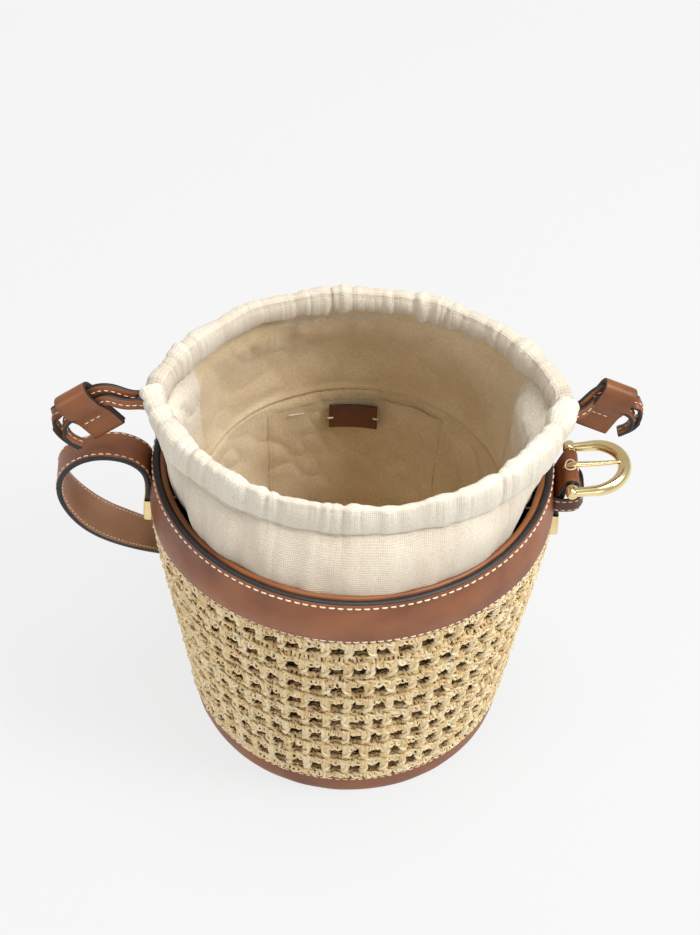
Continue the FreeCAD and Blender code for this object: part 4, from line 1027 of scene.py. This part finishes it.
def add_chape():
    """The leather loop round the buckle's bar, with a slot for the prong."""
    bend, count = BAR_R + 0.08 + 0.75, 150
    line = [(102.35, 139), (102.35, 146), (102.35, 153), (103.1, 160), (104.4, 167.2)]
    for turn in np.radians(np.arange(165, -121, -15)):
        line.append((BAR_X + bend * math.cos(turn), BAR_Z + bend * math.sin(turn)))
    line += [(106.3, 165.0), (104.95, 160), (103.95, 153), (103.95, 146), (103.95, 139)]
    centre = spline([(x, FITTING_Y, z) for x, z in line], count)
    normal = square_to(tangents(centre), Y)
    profile = rounded_profile(21.8, 1.9, 0.5, 0.1, 23)
    build = Build("chape", [LEATHER, EDGE])
    strip(build, centre, Y, normal, profile)
    # the slot: faces near the middle are left out where the leather goes round the bar
    dx, dz = centre[:, 0] - BAR_X, centre[:, 2] - BAR_Z
    angle, near = np.degrees(np.arctan2(dz, dx)), np.hypot(dx, dz) < 4
    slim, open_row = np.abs(profile[0][:, 0]) < 2.6, near & (-62 < angle) & (angle < 118)
    kept = [(face, slot) for face, slot in zip(build.faces, build.slots)
            if len(face) > 4 or not (open_row[min(face) // len(slim)]
                                     and all(slim[f % len(slim)] for f in face))]
    build.faces, build.slots = map(list, zip(*kept))
    build.make("leather", ["buckle_chape"])

    rim = Build("chape_slot_edge", [EDGE])
    rows = near & (-64 < angle) & (angle < 120)
    for side in (-1, 1):
        section = np.array([(2.35, 0.78), (2.1, 0.3), (2.1, -0.3), (2.35, -0.78)]) * [side, 1]
        rim.grid(swept(centre[rows], Y, normal[rows], section))
    rim.make("leather")

    stitches = Build("chape_stitches", [THREAD])
    turn = circle(60)
    around = np.radians(96 + 40 * np.sin(turn))
    away = xyz(np.cos(around), 0, np.sin(around))
    loop = away * (bend + 1.0) + xyz(BAR_X, FITTING_Y + 3.5 * np.cos(turn), BAR_Z)
    flat = np.cross(tangents(loop, closed=True), away)
    stitches.grid(swept(loop, away, flat, oval(6, 0.34, 0.34)), around=True, along=True)
    outer = (np.arange(count) > 100) & (centre[:, 2] < 169)
    for side in (-1, 1):
        stitch_line(stitches, (centre + Y * side * 9.2 + normal * 0.8)[outer], normal[outer], 3.6, 2.5, 0.7,
                    lift=0.05, seed=80 + side)
    stitches.make("thread")


def add_keeper():
    """A leather ring round the chape: rounded corners, black edges, stitched along both edges."""
    x0, x1, half = 100.65, 116.5, 11.95
    path = [(x0, 0), (x0, 6), (x0 + 0.2, half - 1.2), (x0 + 2.5, half), (x0 + 8, half + 0.1),
            (x1 - 4.2, half - 0.6), (x1 - 0.8, half - 4), (x1, half - 7.5), (x1 + 0.1, 0)]
    path = path + [(x, -y) for x, y in path[::-1][1:]]
    line = spline([(x, FITTING_Y + y, 159.4) for x, y in path], 121)[:-1]
    normal = square_to(tangents(line, closed=True), Z)
    if ((line - line.mean(0)) * normal).sum() < 0:
        normal = -normal
    build = Build("keeper", [DARK, EDGE], "keeper")
    strip(build, line, Z, normal, rounded_profile(9.2, 1.25, 0.4, 0.12, 7), closed=True)
    build.make("leather", ["keeper_loop"])
    stitches = Build("keeper_stitches", [THREAD], "keeper")
    for side in (-1, 1):
        stitch_line(stitches, line + Z * side * 3.1 + normal * 0.72, normal, 3.3, 2.3, 0.62, closed=True,
                    lift=0.03, seed=90 + side)
    stitches.make("thread")


def at_buckle(points):
    """From the buckle's own axes (x along it, from the bar) to the frame's."""
    tilt = math.radians(10)
    x, y, z = np.moveaxis(points, -1, 0)
    return xyz(BAR_X + (x * math.cos(tilt) - z * math.sin(tilt)), FITTING_Y + y,
               BAR_Z + (x * math.sin(tilt) + z * math.cos(tilt)))


def add_buckle():
    """A horseshoe that grows thicker towards its bow, with a barrel at each end of the bar."""
    build = Build("buckle", [BRASS], "buckle")
    reach, half = 11.6, 15.5
    arm, bow = np.linspace(0, reach, 14)[:-1], np.linspace(-math.pi / 2, math.pi / 2, 61)
    line = np.concatenate([xyz(arm, -half, 0), xyz(reach + half * np.cos(bow), half * np.sin(bow), 0),
                           xyz(arm[::-1], half, 0)])
    radius = 2.35 + 1.1 * ease(np.clip(line[:, 0] / (reach + half), 0, 1))
    points = swept(line, square_to(tangents(line), Z), Z, oval(24, radius, radius * 0.97))
    build.grid(at_buckle(points), around=True, caps=0)
    for side in (-1, 1):
        y = np.array([-2.9, -2.75, -2.3, -1.0, 1.0, 2.3, 2.75, 2.9, 2.9]) * 1.02 + side * half
        r = np.array([0.1, 2.5, 3.05, 3.3, 3.3, 3.05, 2.6, 2.0, 0.05])[::side]
        build.grid(at_buckle(swept(xyz(0, y, 0), X, Z, oval(24, r, r))), around=True)
    build.make("brass", ["buckle_frame"])

    bar = Build("bar", [BRASS], "buckle")
    y = np.linspace(-half, half, 22)
    bar.grid(at_buckle(swept(xyz(0, y, 0), X, Z, oval(24, 2.15, 2.15))), around=True, caps=0)
    bar.make("brass", ["buckle_bar"])

    prong = Build("prong", [BRASS], "prong")
    line = spline([(-2.6, 0, -0.4), (-1.4, 0, 2.6), (1.2, 0, 3.75), (5, 0, 3.7), (10, 0, 3.3),
                   (16, 0, 2.9), (21, 0, 2.8), (24.2, 0, 2.9), (25.2, 0, 3.1)], 60)
    share, marks = np.linspace(0, 1, 60), [0, 0.08, 0.25, 0.8, 0.96, 1]
    wide = np.interp(share, marks, [0.3, 1.6, 1.7, 1.25, 0.95, 0.25])
    thick = np.interp(share, marks, [0.3, 1.1, 1.3, 1.15, 0.9, 0.25])
    points = swept(line, Y, square_to(Y, tangents(line)), oval(24, wide, thick))
    prong.grid(at_buckle(points), around=True, caps=0)
    ring = xyz(np.cos(circle(32)), 0, np.sin(circle(32)))
    prong.grid(at_buckle(swept(ring * 3.25, ring, Y, oval(16, 0.95, 1.9))), around=True, along=True)
    prong.make("brass", ["buckle_prong"])


def add_fixings():
    """Screws and backing plates: the CAD shapes are right, and stay with a better finish."""
    for node in ("strap_screws", "chape_screws", "strap_backing_plate", "chape_backing_plate", "base_board"):
        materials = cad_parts[node].data.materials
        materials.clear()
        materials.append(BOARD if node == "base_board" else BRASS)


# ---- stage

# name, place in metres, the x of what it points at, size in metres, power
LAMPS = [("key", (1.15, -0.35, 1.6), 0, 0.7, 27), ("top", (0.25, 0.1, 1.9), 0, 0.9, 16),
         ("front", (0.1, -1.6, 0.75), 0, 0.8, 2.6), ("left", (-1.5, -0.9, 0.4), -0.1, 0.7, 5)]


def add_stage():
    mesh = bpy.data.meshes.new("floor")
    size = 30.0
    mesh.from_pydata([(-size, -size, 0), (size, -size, 0), (size, size, 0), (-size, size, 0)], [],
                     [(0, 1, 2, 3)])
    floor = bpy.data.objects.new("floor", mesh)
    bpy.context.scene.collection.objects.link(floor)
    n = Nodes("floor_lightbox", Roughness=0.9, Base_Color=(0.1, 0.1, 0.1, 1), Specular_IOR_Level=0.0,
              Emission_Color=(1, 1, 1, 1), Emission_Strength=0.785)
    mesh.materials.append(n.material)

    world = bpy.data.worlds.new("studio")
    bpy.context.scene.world = world
    world.use_nodes = True
    background = world.node_tree.nodes["Background"].inputs
    background["Color"].default_value = (1, 1, 1, 1)
    background["Strength"].default_value = 0.52

    for name, location, aim_x, size, power in LAMPS:
        data = bpy.data.lights.new(name, "AREA")
        data.shape, data.size, data.energy = "DISK", size, power
        lamp = bpy.data.objects.new(name, data)
        lamp.location = location
        lamp.rotation_mode = "QUATERNION"
        aim = Vector((aim_x, 0, 0.1)) - Vector(location)
        lamp.rotation_quaternion = aim.to_track_quat("-Z", "Y")
        bpy.context.scene.collection.objects.link(lamp)
    bpy.context.scene.view_settings.view_transform = "Standard"


add_camera()
add_stage()
add_top_band()
add_piping()
add_base()
add_raffia()
add_backing()
add_liner_half(-1, "front")
add_liner_half(1, "back")
add_lining()
add_pocket_and_label()
add_strap()
add_drawstrings()
add_slider("left", BACK_LEFT, 5, 7, -4.8, 19.6)
add_slider("right", BACK_RIGHT, 4, 6, -3.0, 17.6)
add_cap("cap_left", "strap_cap", -1, 0.8, 0.0)
add_cap("cap_right", "chape_cap", 1, 0.5, -2.2)
add_chape()
add_keeper()
add_buckle()
add_fixings()

bpy.context.view_layer.update()
